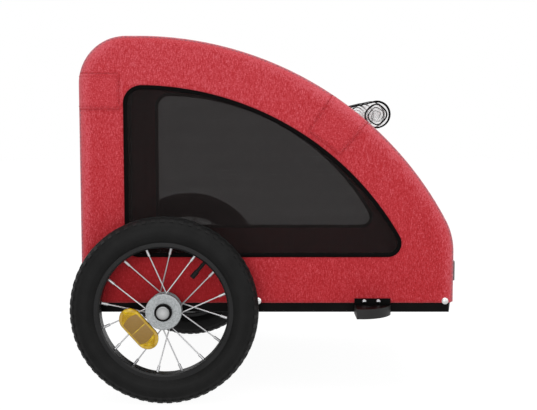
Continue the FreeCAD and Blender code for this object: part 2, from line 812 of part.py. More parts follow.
def make_reflectors():
    """Pairs of flat reflectors low on the front and rear walls."""
    walls = (("front", front_x, front_reflector_bottom), ("rear", rear_x, rear_reflector_bottom))
    for name, wall, bottom in walls:
        x0, x1 = sorted((wall, wall + math.copysign(reflector_thickness, wall)))
        lenses = []
        for side in SIDES.values():
            middle = side * reflector_spacing / 2
            lenses.append(rounded_box(x0, x1, middle - reflector_width / 2, middle + reflector_width / 2,
                                      bottom, bottom + reflector_height, Vector(1, 0, 0), reflector_corner))
        export(name + "_reflectors", solids(lenses))


def wheel_point(side, radius, angle, out):
    """Point on a wheel: radius from the axle, angle from straight up, distance out from its plane."""
    return polar(axle_x, axle_z, radius, angle, side * (wheel_y + out))


def wheel_disc(side, out0, out1, radius):
    """Disc on the wheel's axis between two outboard places."""
    return bar_y(axle_x, axle_z, side * (wheel_y + out0), side * (wheel_y + out1), radius)


def wheel_ring(side, out0, out1, inner, outer):
    """Ring on the wheel's axis between two outboard places."""
    return wheel_disc(side, out0, out1, outer).cut(wheel_disc(side, out0 - overrun, out1 + overrun, inner))


def turned(side, edges):
    """Solid turned about the wheel's axis from a closed section of edges above the axle."""
    section = Part.Face(Part.Wire(edges))
    section.translate(Vector(axle_x, side * wheel_y, axle_z))
    return section.revolve(Vector(axle_x, 0, axle_z), Vector(0, 1, 0), 360)


def section_point(radius, out):
    """Point of a turned section."""
    return Vector(0, out, radius)


def tyre(side):
    """Round tyre section, open at the rim, with three rows of low tread blocks."""
    def bead(radius, sign):
        drop = math.sqrt(radius**2 - bead_half_gap**2)
        return section_point(tyre_centre_radius - drop, sign * bead_half_gap)

    inner_radius = tyre_section_radius - tyre_wall
    crown = section_point(tyre_centre_radius + tyre_section_radius, 0)
    liner = section_point(tyre_centre_radius + inner_radius, 0)
    carcass = turned(side, [
        Part.Arc(bead(tyre_section_radius, -1), crown, bead(tyre_section_radius, 1)).toShape(),
        line(bead(tyre_section_radius, 1), bead(inner_radius, 1)),
        Part.Arc(bead(inner_radius, 1), liner, bead(inner_radius, -1)).toShape(),
        line(bead(inner_radius, -1), bead(tyre_section_radius, -1)),
    ])
    blocks = []
    for index in range(tread_count):
        for row in (-1, 0, 1):
            blocks.append(tread_block(side, row, (index + row**2 / 2) * 360 / tread_count))
    lip = rim_lip_radius + running_gap
    throat = rim_half_width - rim_wall - running_gap
    lips = [wheel_disc(side, sign * throat, sign * overrun, lip) for sign in (-1, 1)]
    return carcass.fuse(blocks).cut(lips).removeSplitter()


def tread_block(side, row, angle):
    """One tread block at an angle from straight up."""
    out = row * tread_row_step
    surface = tyre_centre_radius + math.sqrt(tyre_section_radius**2 - out**2)
    y = side * (wheel_y + out)
    half = tread_block_length / 2
    block = box(axle_x - half, axle_x + half, y - tread_block_width / 2, y + tread_block_width / 2,
                axle_z + surface - tread_root, axle_z + surface + tread_height)
    block.rotate(Vector(axle_x, y, axle_z), Vector(0, 1, 0), angle)
    room = Part.makeTorus(tyre_centre_radius, tyre_section_radius - tyre_wall + tread_bed,
                          Vector(axle_x, side * wheel_y, axle_z), Vector(0, 1, 0))
    return block.common(wheel_disc(side, -overrun, overrun, wheel_radius)).cut(room)


def inner_tube(side):
    """Inflated tube with its valve stem and cap."""
    radius = tyre_section_radius - tyre_wall - tube_gap
    ring = Part.makeTorus(tyre_centre_radius, radius, Vector(axle_x, side * wheel_y, axle_z), Vector(0, 1, 0))
    root = tyre_centre_radius - radius
    tip = rim_inner_radius - valve_length
    stem = rod(wheel_point(side, root + tyre_wall, valve_angle, 0), wheel_point(side, tip, valve_angle, 0),
               valve_radius)
    cap_root = wheel_point(side, tip + valve_cap_length, valve_angle, 0)
    cap = rod(cap_root, wheel_point(side, tip, valve_angle, 0), valve_cap_radius)
    return ring.fuse([stem, cap]).removeSplitter()


def rim(side):
    """Channel rim with sloped shoulders and a valve hole."""
    ring = wheel_ring(side, -rim_half_width, rim_half_width, rim_inner_radius, rim_lip_radius)
    shoulders = [edge for edge in ring.Edges if edge.Curve.TypeId == "Part::GeomCircle"
                 and abs(edge.Curve.Radius - rim_inner_radius) < seam_gap]
    ring = ring.makeChamfer(rim_shoulder, shoulders)
    half_channel = rim_half_width - rim_wall
    channel = wheel_ring(side, -half_channel, half_channel, rim_floor_radius, rim_lip_radius + overrun)
    hole = rod(wheel_point(side, rim_inner_radius - overrun, valve_angle, 0),
               wheel_point(side, rim_lip_radius, valve_angle, 0), valve_radius + valve_hole_gap)
    return ring.cut([channel, hole])


def spoke_ends(side, index):
    """Elbow, flange faces, direction of the axial leg and rim end of one spoke."""
    angle = spoke_first_angle - index * 360 / spoke_count
    on_outer = index % 2 == 0
    trailing = (index // 2) % 2 == 1
    hub_angle = angle + (-spoke_lacing_angle if trailing else spoke_lacing_angle)
    flange = outer_flange if on_outer else inner_flange - flange_thickness
    outward = 1 if on_outer else -1
    far_face = flange + flange_thickness if on_outer else flange
    near_face = flange if on_outer else flange + flange_thickness
    if trailing:
        elbow = far_face + outward * spoke_outside_stand
        head = near_face - outward * spoke_head_height
    else:
        elbow = near_face - outward * spoke_inside_stand
        head = far_face + outward * spoke_head_height
    return hub_angle, angle, elbow, head


def spoke(side, index):
    """Laced spoke: head and axial leg through the flange, elbow, straight run and nipple."""
    hub_angle, angle, elbow, head = spoke_ends(side, index)
    bend = wheel_point(side, spoke_circle_radius, hub_angle, elbow)
    cap = wheel_point(side, spoke_circle_radius, hub_angle, head)
    seat = wheel_point(side, rim_inner_radius - nipple_seat, angle, 0)
    run = (seat - bend).normalize()
    inward = (bend - cap).normalize()
    parts = [rod(cap, bend, spoke_radius), Part.makeSphere(spoke_radius, bend), rod(bend, seat, spoke_radius),
             rod(cap, cap + inward * spoke_head_height, spoke_head_radius),
             rod(seat - run * nipple_length, seat, nipple_radius)]
    return parts[0].fuse(parts[1:]).removeSplitter()


def hub(side):
    """Hub shell: barrel, two drilled flanges, outer disc and bearing seats."""
    shell = wheel_disc(side, hub_inner_face, hub_outer_face, hub_barrel_radius)
    disc = wheel_disc(side, hub_outer_face - hub_disc_thickness, hub_outer_face, hub_disc_radius)
    rims = [edge for edge in disc.Edges if edge.Curve.TypeId == "Part::GeomCircle"]
    disc = disc.makeFillet(hub_edge, rims)
    flanges = [wheel_disc(side, outer_flange, outer_flange + flange_thickness, flange_radius),
               wheel_disc(side, inner_flange - flange_thickness, inner_flange, flange_radius)]
    cuts = [wheel_disc(side, hub_inner_face - overrun, hub_outer_face + overrun, hub_bore_radius)]
    for out0, out1 in bearing_places():
        deep = out0 - overrun if out0 < 0 else out0
        high = out1 if out0 < 0 else out1 + overrun
        cuts.append(wheel_disc(side, deep, high, bearing_radius))
    for index in range(spoke_count):
        hub_angle, _, elbow, head = spoke_ends(side, index)
        start = wheel_point(side, spoke_circle_radius, hub_angle, elbow)
        end = wheel_point(side, spoke_circle_radius, hub_angle, head)
        cuts.append(rod(start, end, spoke_radius + spoke_hole_gap))
    return shell.fuse([disc] + flanges).cut(cuts)


def bearing_places():
    """Outboard stretches of the two bearings."""
    return [(hub_inner_face + bearing_recess, hub_inner_face + bearing_recess + bearing_width),
            (hub_outer_face - bearing_recess - bearing_width, hub_outer_face - bearing_recess)]


def bearing(side, out0, out1):
    """Ball bearing with a recessed shield on both faces."""
    bore = axle_radius + axle_fit
    outer = bearing_radius - bearing_fit
    race = (outer - bore) * bearing_race_share
    ring = wheel_ring(side, out0, out1, bore, outer)
    shields = [wheel_ring(side, out0 - bearing_groove, out0 + bearing_groove, bore + race, outer - race),
               wheel_ring(side, out1 - bearing_groove, out1 + bearing_groove, bore + race, outer - race)]
    return ring.cut(shields)


def release_axle(side):
    """Plug-in axle: shaft, collar behind the hub and a cup-shaped head for the button."""
    head_foot = hub_outer_face + running_gap
    tip = sleeve_face - axle_engagement - wheel_y
    shaft = wheel_disc(side, tip, head_foot, axle_radius)
    ends = [edge for edge in shaft.Edges if edge.Curve.TypeId == "Part::GeomCircle"
            and abs(abs(edge.CenterOfMass.y) - (wheel_y + tip)) < seam_gap]
    shaft = shaft.makeChamfer(axle_tip_chamfer, ends)
    collar_out = hub_inner_face - running_gap
    collar = wheel_disc(side, collar_out - axle_collar_width, collar_out, axle_collar_radius)
    shoulder = wheel_disc(side, hub_outer_face - bearing_recess + running_gap, head_foot, axle_collar_radius)
    head = wheel_disc(side, head_foot, head_foot + axle_head_height, axle_head_radius)
    cup = wheel_disc(side, head_foot + axle_head_floor, head_foot + overrun, button_radius + button_gap)
    stem_end = button_foot() - button_stem_length - button_travel - running_gap
    bore = wheel_disc(side, stem_end, head_foot + overrun, button_stem_radius + screw_gap)
    return shaft.fuse([collar, shoulder, head]).cut([cup, bore]).removeSplitter()


def button_foot():
    """Outboard place of the button's back face at rest."""
    return hub_outer_face + 2 * running_gap + axle_head_floor + button_travel


def release_button(side):
    """Push-button with a rounded front edge and a guide stem."""
    foot = button_foot()
    disc = wheel_disc(side, foot, foot + button_height, button_radius)
    front = [edge for edge in disc.Edges if edge.Curve.TypeId == "Part::GeomCircle"
             and abs(abs(edge.CenterOfMass.y) - (wheel_y + foot + button_height)) < seam_gap]
    disc = disc.makeFillet(button_edge, front)
    return disc.fuse(wheel_disc(side, foot - button_stem_length, foot, button_stem_radius)).removeSplitter()


def wheel_reflector(side):
    """Long rounded reflector clipped along the outer spokes, leaning with them."""
    elbow = outer_flange - spoke_inside_stand
    lean = elbow / (rim_inner_radius - spoke_circle_radius)
    out = elbow - lean * (wheel_reflector_radius - spoke_circle_radius) + spoke_radius + wheel_reflector_gap
    reach = wheel_reflector_length / 2
    half = wheel_reflector_width / 2
    lens = rounded_box(-reach, reach, -half, half, 0, wheel_reflector_thickness, Vector(0, 0, 1),
                       half - seam_gap)
    face_edges = [edge for edge in lens.Edges
                  if abs(edge.CenterOfMass.z - wheel_reflector_thickness) < seam_gap]
    lens = lens.makeFillet(wheel_reflector_edge, face_edges)
    turn = math.radians(wheel_reflector_angle)
    radial = Vector(math.sin(turn), 0, math.cos(turn))
    normal = (Vector(0, side, 0) + radial * lean).normalize()
    heading = polar(0, 0, 1, wheel_reflector_axis)
    along = (heading - normal * heading.dot(normal)).normalize()
    lens.Placement = FreeCAD.Placement(
        wheel_point(side, wheel_reflector_radius, wheel_reflector_angle, out),
        FreeCAD.Rotation(along, normal.cross(along), normal, "ZXY"))
    return lens


def make_wheels():
    """Both wheels with their axles and buttons."""
    for name, side in SIDES.items():
        export(name + "_tyre", tyre(side))
        export(name + "_inner_tube", inner_tube(side))
        export(name + "_rim", rim(side))
        export(name + "_spokes", solids([spoke(side, index) for index in range(spoke_count)]))
        export(name + "_hub", hub(side))
        export(name + "_hub_bearings", solids([bearing(side, out0, out1) for out0, out1 in bearing_places()]))
        export(name + "_wheel_reflector", wheel_reflector(side))
        export(name + "_quick_release_axle", release_axle(side))
        export(name + "_release_button", release_button(side))


make_base()
make_frame()
make_cover()
make_cover_screws()
make_tow_bracket()
make_rain_cover()
make_reflectors()
make_wheels()
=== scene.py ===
"""Looks of a dog bike trailer: cloth cover, nets, rolled rain cover, wheels, frame and studio."""

import logging
import math
from dataclasses import dataclass, field
from enum import Enum
from typing import Callable, NamedTuple, Sequence

import bpy
from mathutils import Matrix, Vector, noise


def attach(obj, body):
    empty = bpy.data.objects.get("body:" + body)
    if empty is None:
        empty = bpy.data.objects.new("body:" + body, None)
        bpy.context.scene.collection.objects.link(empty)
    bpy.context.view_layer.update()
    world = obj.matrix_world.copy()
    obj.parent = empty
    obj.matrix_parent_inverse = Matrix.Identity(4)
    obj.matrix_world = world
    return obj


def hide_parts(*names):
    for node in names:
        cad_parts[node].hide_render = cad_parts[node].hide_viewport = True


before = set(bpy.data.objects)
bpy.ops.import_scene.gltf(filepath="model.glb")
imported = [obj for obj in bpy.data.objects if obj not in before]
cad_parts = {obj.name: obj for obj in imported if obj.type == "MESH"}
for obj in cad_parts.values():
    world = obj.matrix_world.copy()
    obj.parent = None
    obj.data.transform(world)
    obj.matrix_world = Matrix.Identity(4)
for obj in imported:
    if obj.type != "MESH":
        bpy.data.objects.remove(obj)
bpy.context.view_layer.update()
LOG = logging.getLogger("trailer")

# Mesh attribute of the cloth's painted light: painted highlight along the hoop edges, painted shade behind
# the wheels
PAINTED_LIGHT_ATTRIBUTE = "painted_light"
# The axles in the side view
AXLE_X = -0.1621
AXLE_Z = 0.1525
# Ridges per metre of a wave texture of scale 1
WAVE_RIDGES = 3.1831
# How far cloth reaches under a binding
TUCK = 0.002

Point = tuple[float, float]
Colour = tuple[float, float, float]
Faces = list[tuple[int, ...]]
Seam = list[tuple[Vector, Vector]]
Mapper = Callable[[float, float, float], Vector]
Contour = Callable[[float], list[Point]]


class Side(Enum):
    """Side of the trailer, with the sign of its Y."""

    RIGHT = -1
    LEFT = 1

    @property
    def word(self) -> str:
        """Name of the side as the pieces use it."""
        return self.name.lower()

    @property
    def out(self) -> Vector:
        """Direction out of the trailer on this side."""
        return Vector((0.0, self.value, 0.0))


class Spot(NamedTuple):
    """Place on the cover's side outline, with the direction that points out of the cover."""

    x: float
    z: float
    nx: float
    nz: float


def clamp(value: float) -> float:
    """Keeps a value between 0 and 1."""
    return min(1.0, max(0.0, value))


def add_node(tree: bpy.types.NodeTree, kind: str, inputs: dict[str | int, object]) -> bpy.types.Node:
    """Adds a node to a tree.

    Args:
        tree: The tree.
        kind: Blender's node type.
        inputs: Values or sockets for its inputs.

    Returns:
        The new node.
    """
    made = tree.nodes.new(kind)
    for key, value in inputs.items():
        if isinstance(value, bpy.types.NodeSocket):
            tree.links.new(value, made.inputs[key])
        else:
            made.inputs[key].default_value = value
    return made


class Recipe:
    """Lays out the nodes of one material."""

    def __init__(self, name: str) -> None:
        """Starts a material.

        Args:
            name: Name of the material.
        """
        self.material = bpy.data.materials.new(name)
        self.material.use_nodes = True
        self.tree = self.material.node_tree
        self.tree.nodes.clear()
        self.shader = self.node("ShaderNodeBsdfPrincipled")
        self.node("ShaderNodeOutputMaterial", {0: self.shader.outputs[0]})

    def set(self, **values: object) -> None:
        """Sets shader sockets; underscores in a name stand for spaces."""
        for key, value in values.items():
            self.shader.inputs[key.replace("_", " ")].default_value = value

    def node(self, kind: str, inputs: dict[str | int, object] | None = None) -> bpy.types.Node:
        """Adds a node with values or sockets for its inputs."""
        return add_node(self.tree, kind, inputs or {})

    def place(self, scale: Sequence[float] = (1, 1, 1),
              shift: Sequence[float] = (0, 0, 0)) -> bpy.types.NodeSocket:
        """Gives object coordinates stretched along each axis and then shifted."""
        coords = self.node("ShaderNodeTexCoord").outputs["Object"]
        inputs = {"Vector": coords, "Location": shift, "Scale": scale}
        return self.node("ShaderNodeMapping", inputs).outputs[0]

    def noise(self, scale: float | Sequence[float], detail: float,
              roughness: float = 0.55) -> bpy.types.NodeSocket:
        """Gives a noise value whose grain is one over scale in metres."""
        steps = (scale,) * 3 if isinstance(scale, (int, float)) else scale
        inputs = {"Vector": self.place(steps), "Scale": 1.0, "Detail": detail, "Roughness": roughness}
        return self.node("ShaderNodeTexNoise", inputs).outputs["Fac"]

    def ribs(self, axis: str, per_metre: float) -> bpy.types.NodeSocket:
        """Gives a wave across one axis with a number of ridges per metre."""
        made = self.node("ShaderNodeTexWave", {"Vector": self.place(), "Scale": per_metre / WAVE_RIDGES})
        made.bands_direction = axis
        return made.outputs["Fac"]

    def math(self, operation: str, first: object, second: object) -> bpy.types.NodeSocket:
        """Combines two values."""
        made = self.node("ShaderNodeMath", {0: first, 1: second})
        made.operation = operation
        return made.outputs[0]

    def plus(self, base: object, value: bpy.types.NodeSocket, weight: float) -> bpy.types.NodeSocket:
        """Adds a weighted value to another."""
        return self.math("ADD", base, self.math("MULTIPLY", value, weight))

    def ramp(self, value: bpy.types.NodeSocket,
             stops: Sequence[tuple[float, Sequence[float]]]) -> bpy.types.NodeSocket:
        """Turns a value into a colour.

        Args:
            value: The value to read.
            stops: Places from 0 to 1 with linear colours.

        Returns:
            The colour socket.
        """
        made = self.node("ShaderNodeValToRGB", {"Fac": value})
        band = made.color_ramp
        while len(band.elements) < len(stops):
            band.elements.new(0.5)
        for element, (spot, colour) in zip(band.elements, stops):
            element.position = spot
            element.color = (*colour, 1.0)
        return made.outputs["Color"]

    def link(self, socket: bpy.types.NodeSocket, name: str) -> None:
        """Joins a socket to one of the shader's inputs."""
        self.tree.links.new(socket, self.shader.inputs[name])

    def tone(self, value: bpy.types.NodeSocket, colour: Colour, *stops: Point) -> None:
        """Colours the shader by a value.

        Args:
            value: The value to read.
            colour: The linear colour.
            stops: Places from 0 to 1, each with a factor on the colour.
        """
        shades = [(spot, tuple(part * factor for part in colour)) for spot, factor in stops]
        self.link(self.ramp(value, shades), "Base Color")

    def rough(self, value: bpy.types.NodeSocket, spread: float, base: float) -> None:
        """Gives the shader a roughness that rises from a base with a value."""
        self.link(self.plus(base, value, spread), "Roughness")

    def bump(self, height: bpy.types.NodeSocket, depth: float, strength: float) -> None:
        """Adds a bump to the shader.

        Args:
            height: Value that gives the relief.
            depth: Relief in metres.
            strength: Share of the effect.
        """
        made = self.node("ShaderNodeBump", {"Height": height, "Distance": depth, "Strength": strength})
        self.link(made.outputs["Normal"], "Normal")


@dataclass(frozen=True)
class Finish:
    """A finish that makes its material once."""

    name: str

    def material(self) -> bpy.types.Material:
        """Gives the material, made on the first call."""
        known = bpy.data.materials.get(self.name)
        if known is None:
            recipe = Recipe(self.name)
            self.fill(recipe)
            known = recipe.material
        return known

    def fill(self, recipe: Recipe) -> None:
        """Fills in the recipe."""
        raise NotImplementedError


@dataclass(frozen=True)
class HeatherCloth(Finish):
    """Woven cloth of mixed light and dark yarn with a slubby grain."""

    dark: Colour
    middle: Colour
    light: Colour
    sheen: float = 0.5
    # Painted light from above: how fast the cloth turns paler with height, and the height where that starts
    fade: float = 0.17
    fade_from: float = 0.37
    # Weight of the painted-light marks: painted highlight along the hoop edges, painted shade behind the
    # wheels
    painted_light: float = 0.085

    def fill(self, recipe: Recipe) -> None:
        """Mixes slubs, yarn flecks and a plain weave, with painted light: paler towards the top, paler along
        the hoop edges and darker behind the wheels.
        """
        upright = recipe.noise((900, 900, 230), 2.0, 0.6)
        level = recipe.noise((260, 260, 1000), 2.0, 0.6)
        fleck = recipe.noise(1500, 1.0, 0.5)
        grain = recipe.math("MULTIPLY", upright, 0.5)
        grain = recipe.plus(grain, level, 0.28)
        grain = recipe.plus(grain, fleck, 0.22)
        light_marks = recipe.node("ShaderNodeAttribute")
        light_marks.attribute_name = PAINTED_LIGHT_ATTRIBUTE
        # Painted light from above: the cloth turns paler with height
        height = recipe.node("ShaderNodeSeparateXYZ", {"Vector": recipe.place()}).outputs["Z"]
        light_shift = recipe.math("MULTIPLY", recipe.math("SUBTRACT", height, self.fade_from), self.fade)
        light_shift = recipe.plus(light_shift, light_marks.outputs["Fac"], self.painted_light)
        stops = [(0.36, self.dark), (0.5, self.middle), (0.66, self.light)]
        recipe.link(recipe.ramp(recipe.math("ADD", grain, light_shift), stops), "Base Color")
        weave = recipe.math("ADD", recipe.ribs("X", 900), recipe.ribs("Z", 900))
        recipe.bump(recipe.plus(weave, grain, 2.0), 0.00025, 0.7)
        recipe.rough(fleck, 0.2, 0.72)
        recipe.set(Sheen_Weight=self.sheen, Sheen_Roughness=0.35, Specular_IOR_Level=0.2,
                   Sheen_Tint=(1.0, 0.72, 0.74, 1.0))


@dataclass(frozen=True)
class WovenTape(Finish):
    """Tight ribbed tape, thread or yarn."""

    colour: Colour
    ribs: float = 1100.0
    roughness: float = 0.7
    gloss: float = 0.12
    alpha: float = 1.0

    def fill(self, recipe: Recipe) -> None:
        """Ribs across the tape with a little yarn variation."""
        yarn = recipe.noise(700, 2.0)
        recipe.tone(yarn, self.colour, (0.3, 0.6), (0.7, 1.5))
        recipe.bump(recipe.plus(recipe.ribs("DIAGONAL", self.ribs), yarn, 0.5), 0.00018, 0.6)
        recipe.set(Roughness=self.roughness, Specular_IOR_Level=self.gloss, Alpha=self.alpha)


@dataclass(frozen=True)
class PaintedMetal(Finish):
    """Powder-coated metal with a fine orange peel."""

    colour: Colour
    roughness: float = 0.42
    gloss: float = 0.1

    def fill(self, recipe: Recipe) -> None:
        """Adds a fine skin relief and faint dust in colour and roughness."""
        dust = recipe.noise(25, 4.0)
        low = tuple(part * 0.8 for part in self.colour)
        high = tuple(part * 1.35 + 0.0005 for part in self.colour)
        recipe.link(recipe.ramp(dust, [(0.35, low), (0.7, high)]), "Base Color")
        recipe.rough(dust, 0.16, self.roughness - 0.08)
        recipe.bump(recipe.noise(900, 3.0), 0.00008, 0.5)
        recipe.set(Specular_IOR_Level=self.gloss)


@dataclass(frozen=True)
class PlatedMetal(Finish):
    """Plated or cast bare metal."""

    colour: Colour
    roughness: float = 0.22
    speckle: float = 0.0
    grain: float = 1100.0

    def fill(self, recipe: Recipe) -> None:
        """Adds casting speckle or a faint polish."""
        fine = recipe.noise(self.grain, 2.0)
        recipe.tone(fine, self.colour, (0.35, 1.0 - self.speckle), (0.65, 1.0 + self.speckle))
        recipe.rough(fine, 0.12, self.roughness)
        recipe.bump(fine, 0.00005, 0.25 + self.speckle)
        recipe.set(Metallic=1.0)


@dataclass(frozen=True)
class RingShadedMetal(Finish):
    """Polished metal disc whose colour holds painted shade that darkens it in rings towards its edge."""

    colour: Colour
    centre: Point
    radius: float

    def fill(self, recipe: Recipe) -> None:
        """Paints shade on the disc in rings about its centre."""
        size = 1.0 / self.radius
        shift = (-self.centre[0] * size, 0.0, -self.centre[1] * size)
        painted_shade = recipe.node("ShaderNodeTexGradient", {"Vector": recipe.place((size, 0.0, size), shift)})
        painted_shade.gradient_type = "SPHERICAL"
        recipe.tone(painted_shade.outputs["Fac"], self.colour, (0.0, 0.16), (0.14, 0.42), (0.34, 0.62), (0.8, 0.8))
        fine = recipe.noise(900, 2.0)
        recipe.rough(fine, 0.1, 0.12)
        recipe.bump(fine, 0.00004, 0.3)
        recipe.set(Metallic=1.0)


@dataclass(frozen=True)
class Rubber(Finish):
    """Matte black rubber with a dusty grain."""

    colour: Colour
    roughness: float = 0.5
    gloss: float = 0.2

    def fill(self, recipe: Recipe) -> None:
        """Adds mould grain and faint dust."""
        grain = recipe.noise(700, 3.0)
        recipe.tone(recipe.noise(40, 4.0), self.colour, (0.3, 0.75), (0.75, 1.5))
        recipe.rough(grain, 0.2, self.roughness)
        recipe.bump(grain, 0.00012, 0.5)
        recipe.set(Specular_IOR_Level=self.gloss)


@dataclass(frozen=True)
class Moulded(Finish):
    """Moulded plastic with a light texture."""

    colour: Colour
    roughness: float = 0.5

    def fill(self, recipe: Recipe) -> None:
        """Adds a fine spark-eroded grain."""
        grain = recipe.noise(1300, 2.0)
        recipe.tone(grain, self.colour, (0.3, 0.85), (0.7, 1.2))
        recipe.rough(grain, 0.15, self.roughness - 0.07)
        recipe.bump(grain, 0.00006, 0.4)
        recipe.set(Specular_IOR_Level=0.5)


@dataclass(frozen=True)
class LensPlastic(Finish):
    """Reflector plastic with small cube-corner prisms."""

    colour: Colour
    bright: Colour
    prism: float = 420.0
    roughness: float = 0.2
    relief: float = 0.0006
    coat: float = 0.3

    def fill(self, recipe: Recipe) -> None:
        """Tints each prism cell and tilts it."""
        cells = recipe.node("ShaderNodeTexVoronoi", {"Vector": recipe.place(), "Scale": self.prism})
        away = cells.outputs["Distance"]
        recipe.link(recipe.ramp(away, [(0.05, self.bright), (0.6, self.colour)]), "Base Color")
        recipe.bump(away, self.relief, 0.6)
        recipe.set(Roughness=self.roughness, Coat_Weight=self.coat, Coat_Roughness=0.06,
                   Specular_IOR_Level=0.55)


@dataclass(frozen=True)
class ClearSheet(Finish):
    """Clear soft vinyl film."""

    colour: Colour
    alpha: float = 0.28

    def fill(self, recipe: Recipe) -> None:
        """Adds soft ripples to a thin see-through film."""
        recipe.tone(recipe.noise(300, 2.0), self.colour, (0.3, 0.92), (0.7, 1.0))
        recipe.bump(recipe.noise(45, 2.0), 0.0015, 0.4)
        recipe.set(Alpha=self.alpha, Roughness=0.12, Specular_IOR_Level=0.6, IOR=1.5)


# Cloth, thread and tape
RED_CLOTH = HeatherCloth("red_heather_cloth", (0.31, 0.008, 0.011), (0.44, 0.022, 0.030),
                         (0.60, 0.105, 0.130))
# The piping's paler heather is a painted highlight on the rolled hoop edges
PIPING_HIGHLIGHT_CLOTH = HeatherCloth("piping_painted_highlight", (0.44, 0.07, 0.085), (0.56, 0.16, 0.18), (0.7, 0.32, 0.34),
                          0.6)
SEAM_THREAD = WovenTape("seam_thread", (0.40, 0.028, 0.036), 2200.0)
# The edge thread is real; its pale pink is a painted highlight on the rolled hoop edges
EDGE_HIGHLIGHT_THREAD = WovenTape("edge_thread_painted_highlight", (0.33, 0.13, 0.165), 2200.0)
BLACK_TAPE = WovenTape("black_binding_tape", (0.003, 0.0025, 0.0025), gloss=0.03)
NET_YARN = WovenTape("net_yarn", (0.0114, 0.0078, 0.0077), 2600.0, 0.6, alpha=0.54)
WEBBING = WovenTape("black_webbing", (0.016, 0.016, 0.017), 600.0)
CLEAR_VINYL = ClearSheet("clear_vinyl_film", (0.95, 0.96, 0.97))

# Metal
BLACK_PAINT = PaintedMetal("black_powder_coat", (0.0025, 0.0023, 0.0023), gloss=0.04)
RIM_PAINT = PaintedMetal("black_rim_coat", (0.005, 0.005, 0.0053), 0.28, 0.2)
# Painted light: lighter grey for the upright faces of the tow bracket's tongue
TONGUE_SIDE_LIGHT = PaintedMetal("tongue_side_painted_light", (0.014, 0.014, 0.014), 0.5, 0.2)
ZIP_ENAMEL = PaintedMetal("zip_enamel", (0.02, 0.02, 0.021), 0.3)
BRIGHT_STEEL = PlatedMetal("bright_plated_steel", (0.6, 0.6, 0.6), 0.24)
DARK_STEEL = PlatedMetal("dark_plated_bolt", (0.3, 0.3, 0.31), 0.12)
SPOKE_STEEL = PlatedMetal("plated_spoke_steel", (0.46, 0.46, 0.47), 0.4)
CAST_ALLOY = PlatedMetal("cast_alloy_hub", (0.285, 0.298, 0.302), 0.45, 0.32, 900.0)
# Painted shade: the button darkens in rings towards its edge
POLISHED = RingShadedMetal("polished_button", (0.56, 0.57, 0.57), (AXLE_X, AXLE_Z), 0.0112)

# Rubber, plastic and lenses
TYRE_RUBBER = Rubber("tyre_rubber", (0.0045, 0.0045, 0.0045), 0.46, 0.12)
TREAD_RUBBER = Rubber("tread_rubber", (0.0055, 0.0055, 0.0055), 0.42, 0.17)
BLACK_PLASTIC = Moulded("black_moulded_plastic", (0.006, 0.006, 0.006))
FLOOR_PLASTIC = Moulded("floor_panel_plastic", (0.018, 0.018, 0.019), 0.62)
AMBER_CLEAR = LensPlastic("amber_faceted_lens", (0.42, 0.25, 0.003), (0.68, 0.47, 0.006), 110.0, 0.14,
                          0.0003)
AMBER_FIELD = LensPlastic("amber_prism_field", (0.20, 0.105, 0.004), (0.25, 0.13, 0.006), 900.0, 0.5, 0.0003,
                          0.04)
RED_LENS = LensPlastic("red_prism_lens", (0.26, 0.003, 0.004), (0.5, 0.012, 0.014))
WHITE_LENS = LensPlastic("white_prism_lens", (0.05, 0.052, 0.054), (0.12, 0.122, 0.125))


def make_piece(name: str, points: Sequence[Sequence[float]], faces: Faces, finish: Finish, body: str,
               sharp: float = 40.0) -> bpy.types.Object:
    """Makes a mesh piece that rides on a body.

    Args:
        name: Name of the piece.
        points: Corner places in metres.
        faces: Corner numbers of each face.
        finish: The piece's finish.
        body: Body that it moves with.
        sharp: Angle in degrees above which an edge stays sharp.

    Returns:
        The new object.
    """
    mesh = bpy.data.meshes.new(name)
    mesh.from_pydata([tuple(p) for p in points], [], faces)
    mesh.validate()
    mesh.update()
    mesh.polygons.foreach_set("use_smooth", [True] * len(mesh.polygons))
    mesh.set_sharp_from_angle(angle=math.radians(sharp))
    mesh.materials.append(finish.material())
    made = bpy.data.objects.new(name, mesh)
    bpy.context.scene.collection.objects.link(made)
    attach(made, body)
    LOG.info("made %s with %d faces", name, len(mesh.polygons))
    return made


def thicken(piece: bpy.types.Object, thickness: float, offset: float = -1.0) -> None:
    """Gives a sheet its thickness."""
    made = piece.modifiers.new("cloth thickness", "SOLIDIFY")
    made.thickness = thickness
    made.offset = offset
    made.use_even_offset = False


def grid_faces(rows: int, columns: int, closed: bool = False, start: int = 0, looped: bool = False) -> Faces:
    """Gives the quads of a grid of points laid row after row.

    Args:
        rows: Number of rows.
        columns: Points in each row.
        closed: Whether each row joins up with its own start.
        start: Number of the first point.
        looped: Whether the last row joins up with the first.

    Returns:
        Corner numbers of each quad.
    """
    faces = []
    for row in range(rows if looped else rows - 1):
        low = start + row * columns
        high = start + (row + 1) % rows * columns
        for column in range(columns if closed else columns - 1):
            after = (column + 1) % columns
            faces.append((low + column, low + after, high + after, high + column))
    return faces


def tube_faces(rows: int, columns: int, start: int = 0) -> Faces:
    """Gives the quads of a tube of closed rows, with a face over each end."""
    last = start + columns * (rows - 1)
    caps = [tuple(range(start + columns - 1, start - 1, -1)), tuple(range(last, last + columns))]
    return grid_faces(rows, columns, True, start) + caps


def sides_of(loop: Sequence[Point]) -> list[tuple[Point, Point]]:
    """Gives the two ends of each side of a loop."""
    return list(zip(loop, [*loop[1:], loop[0]]))


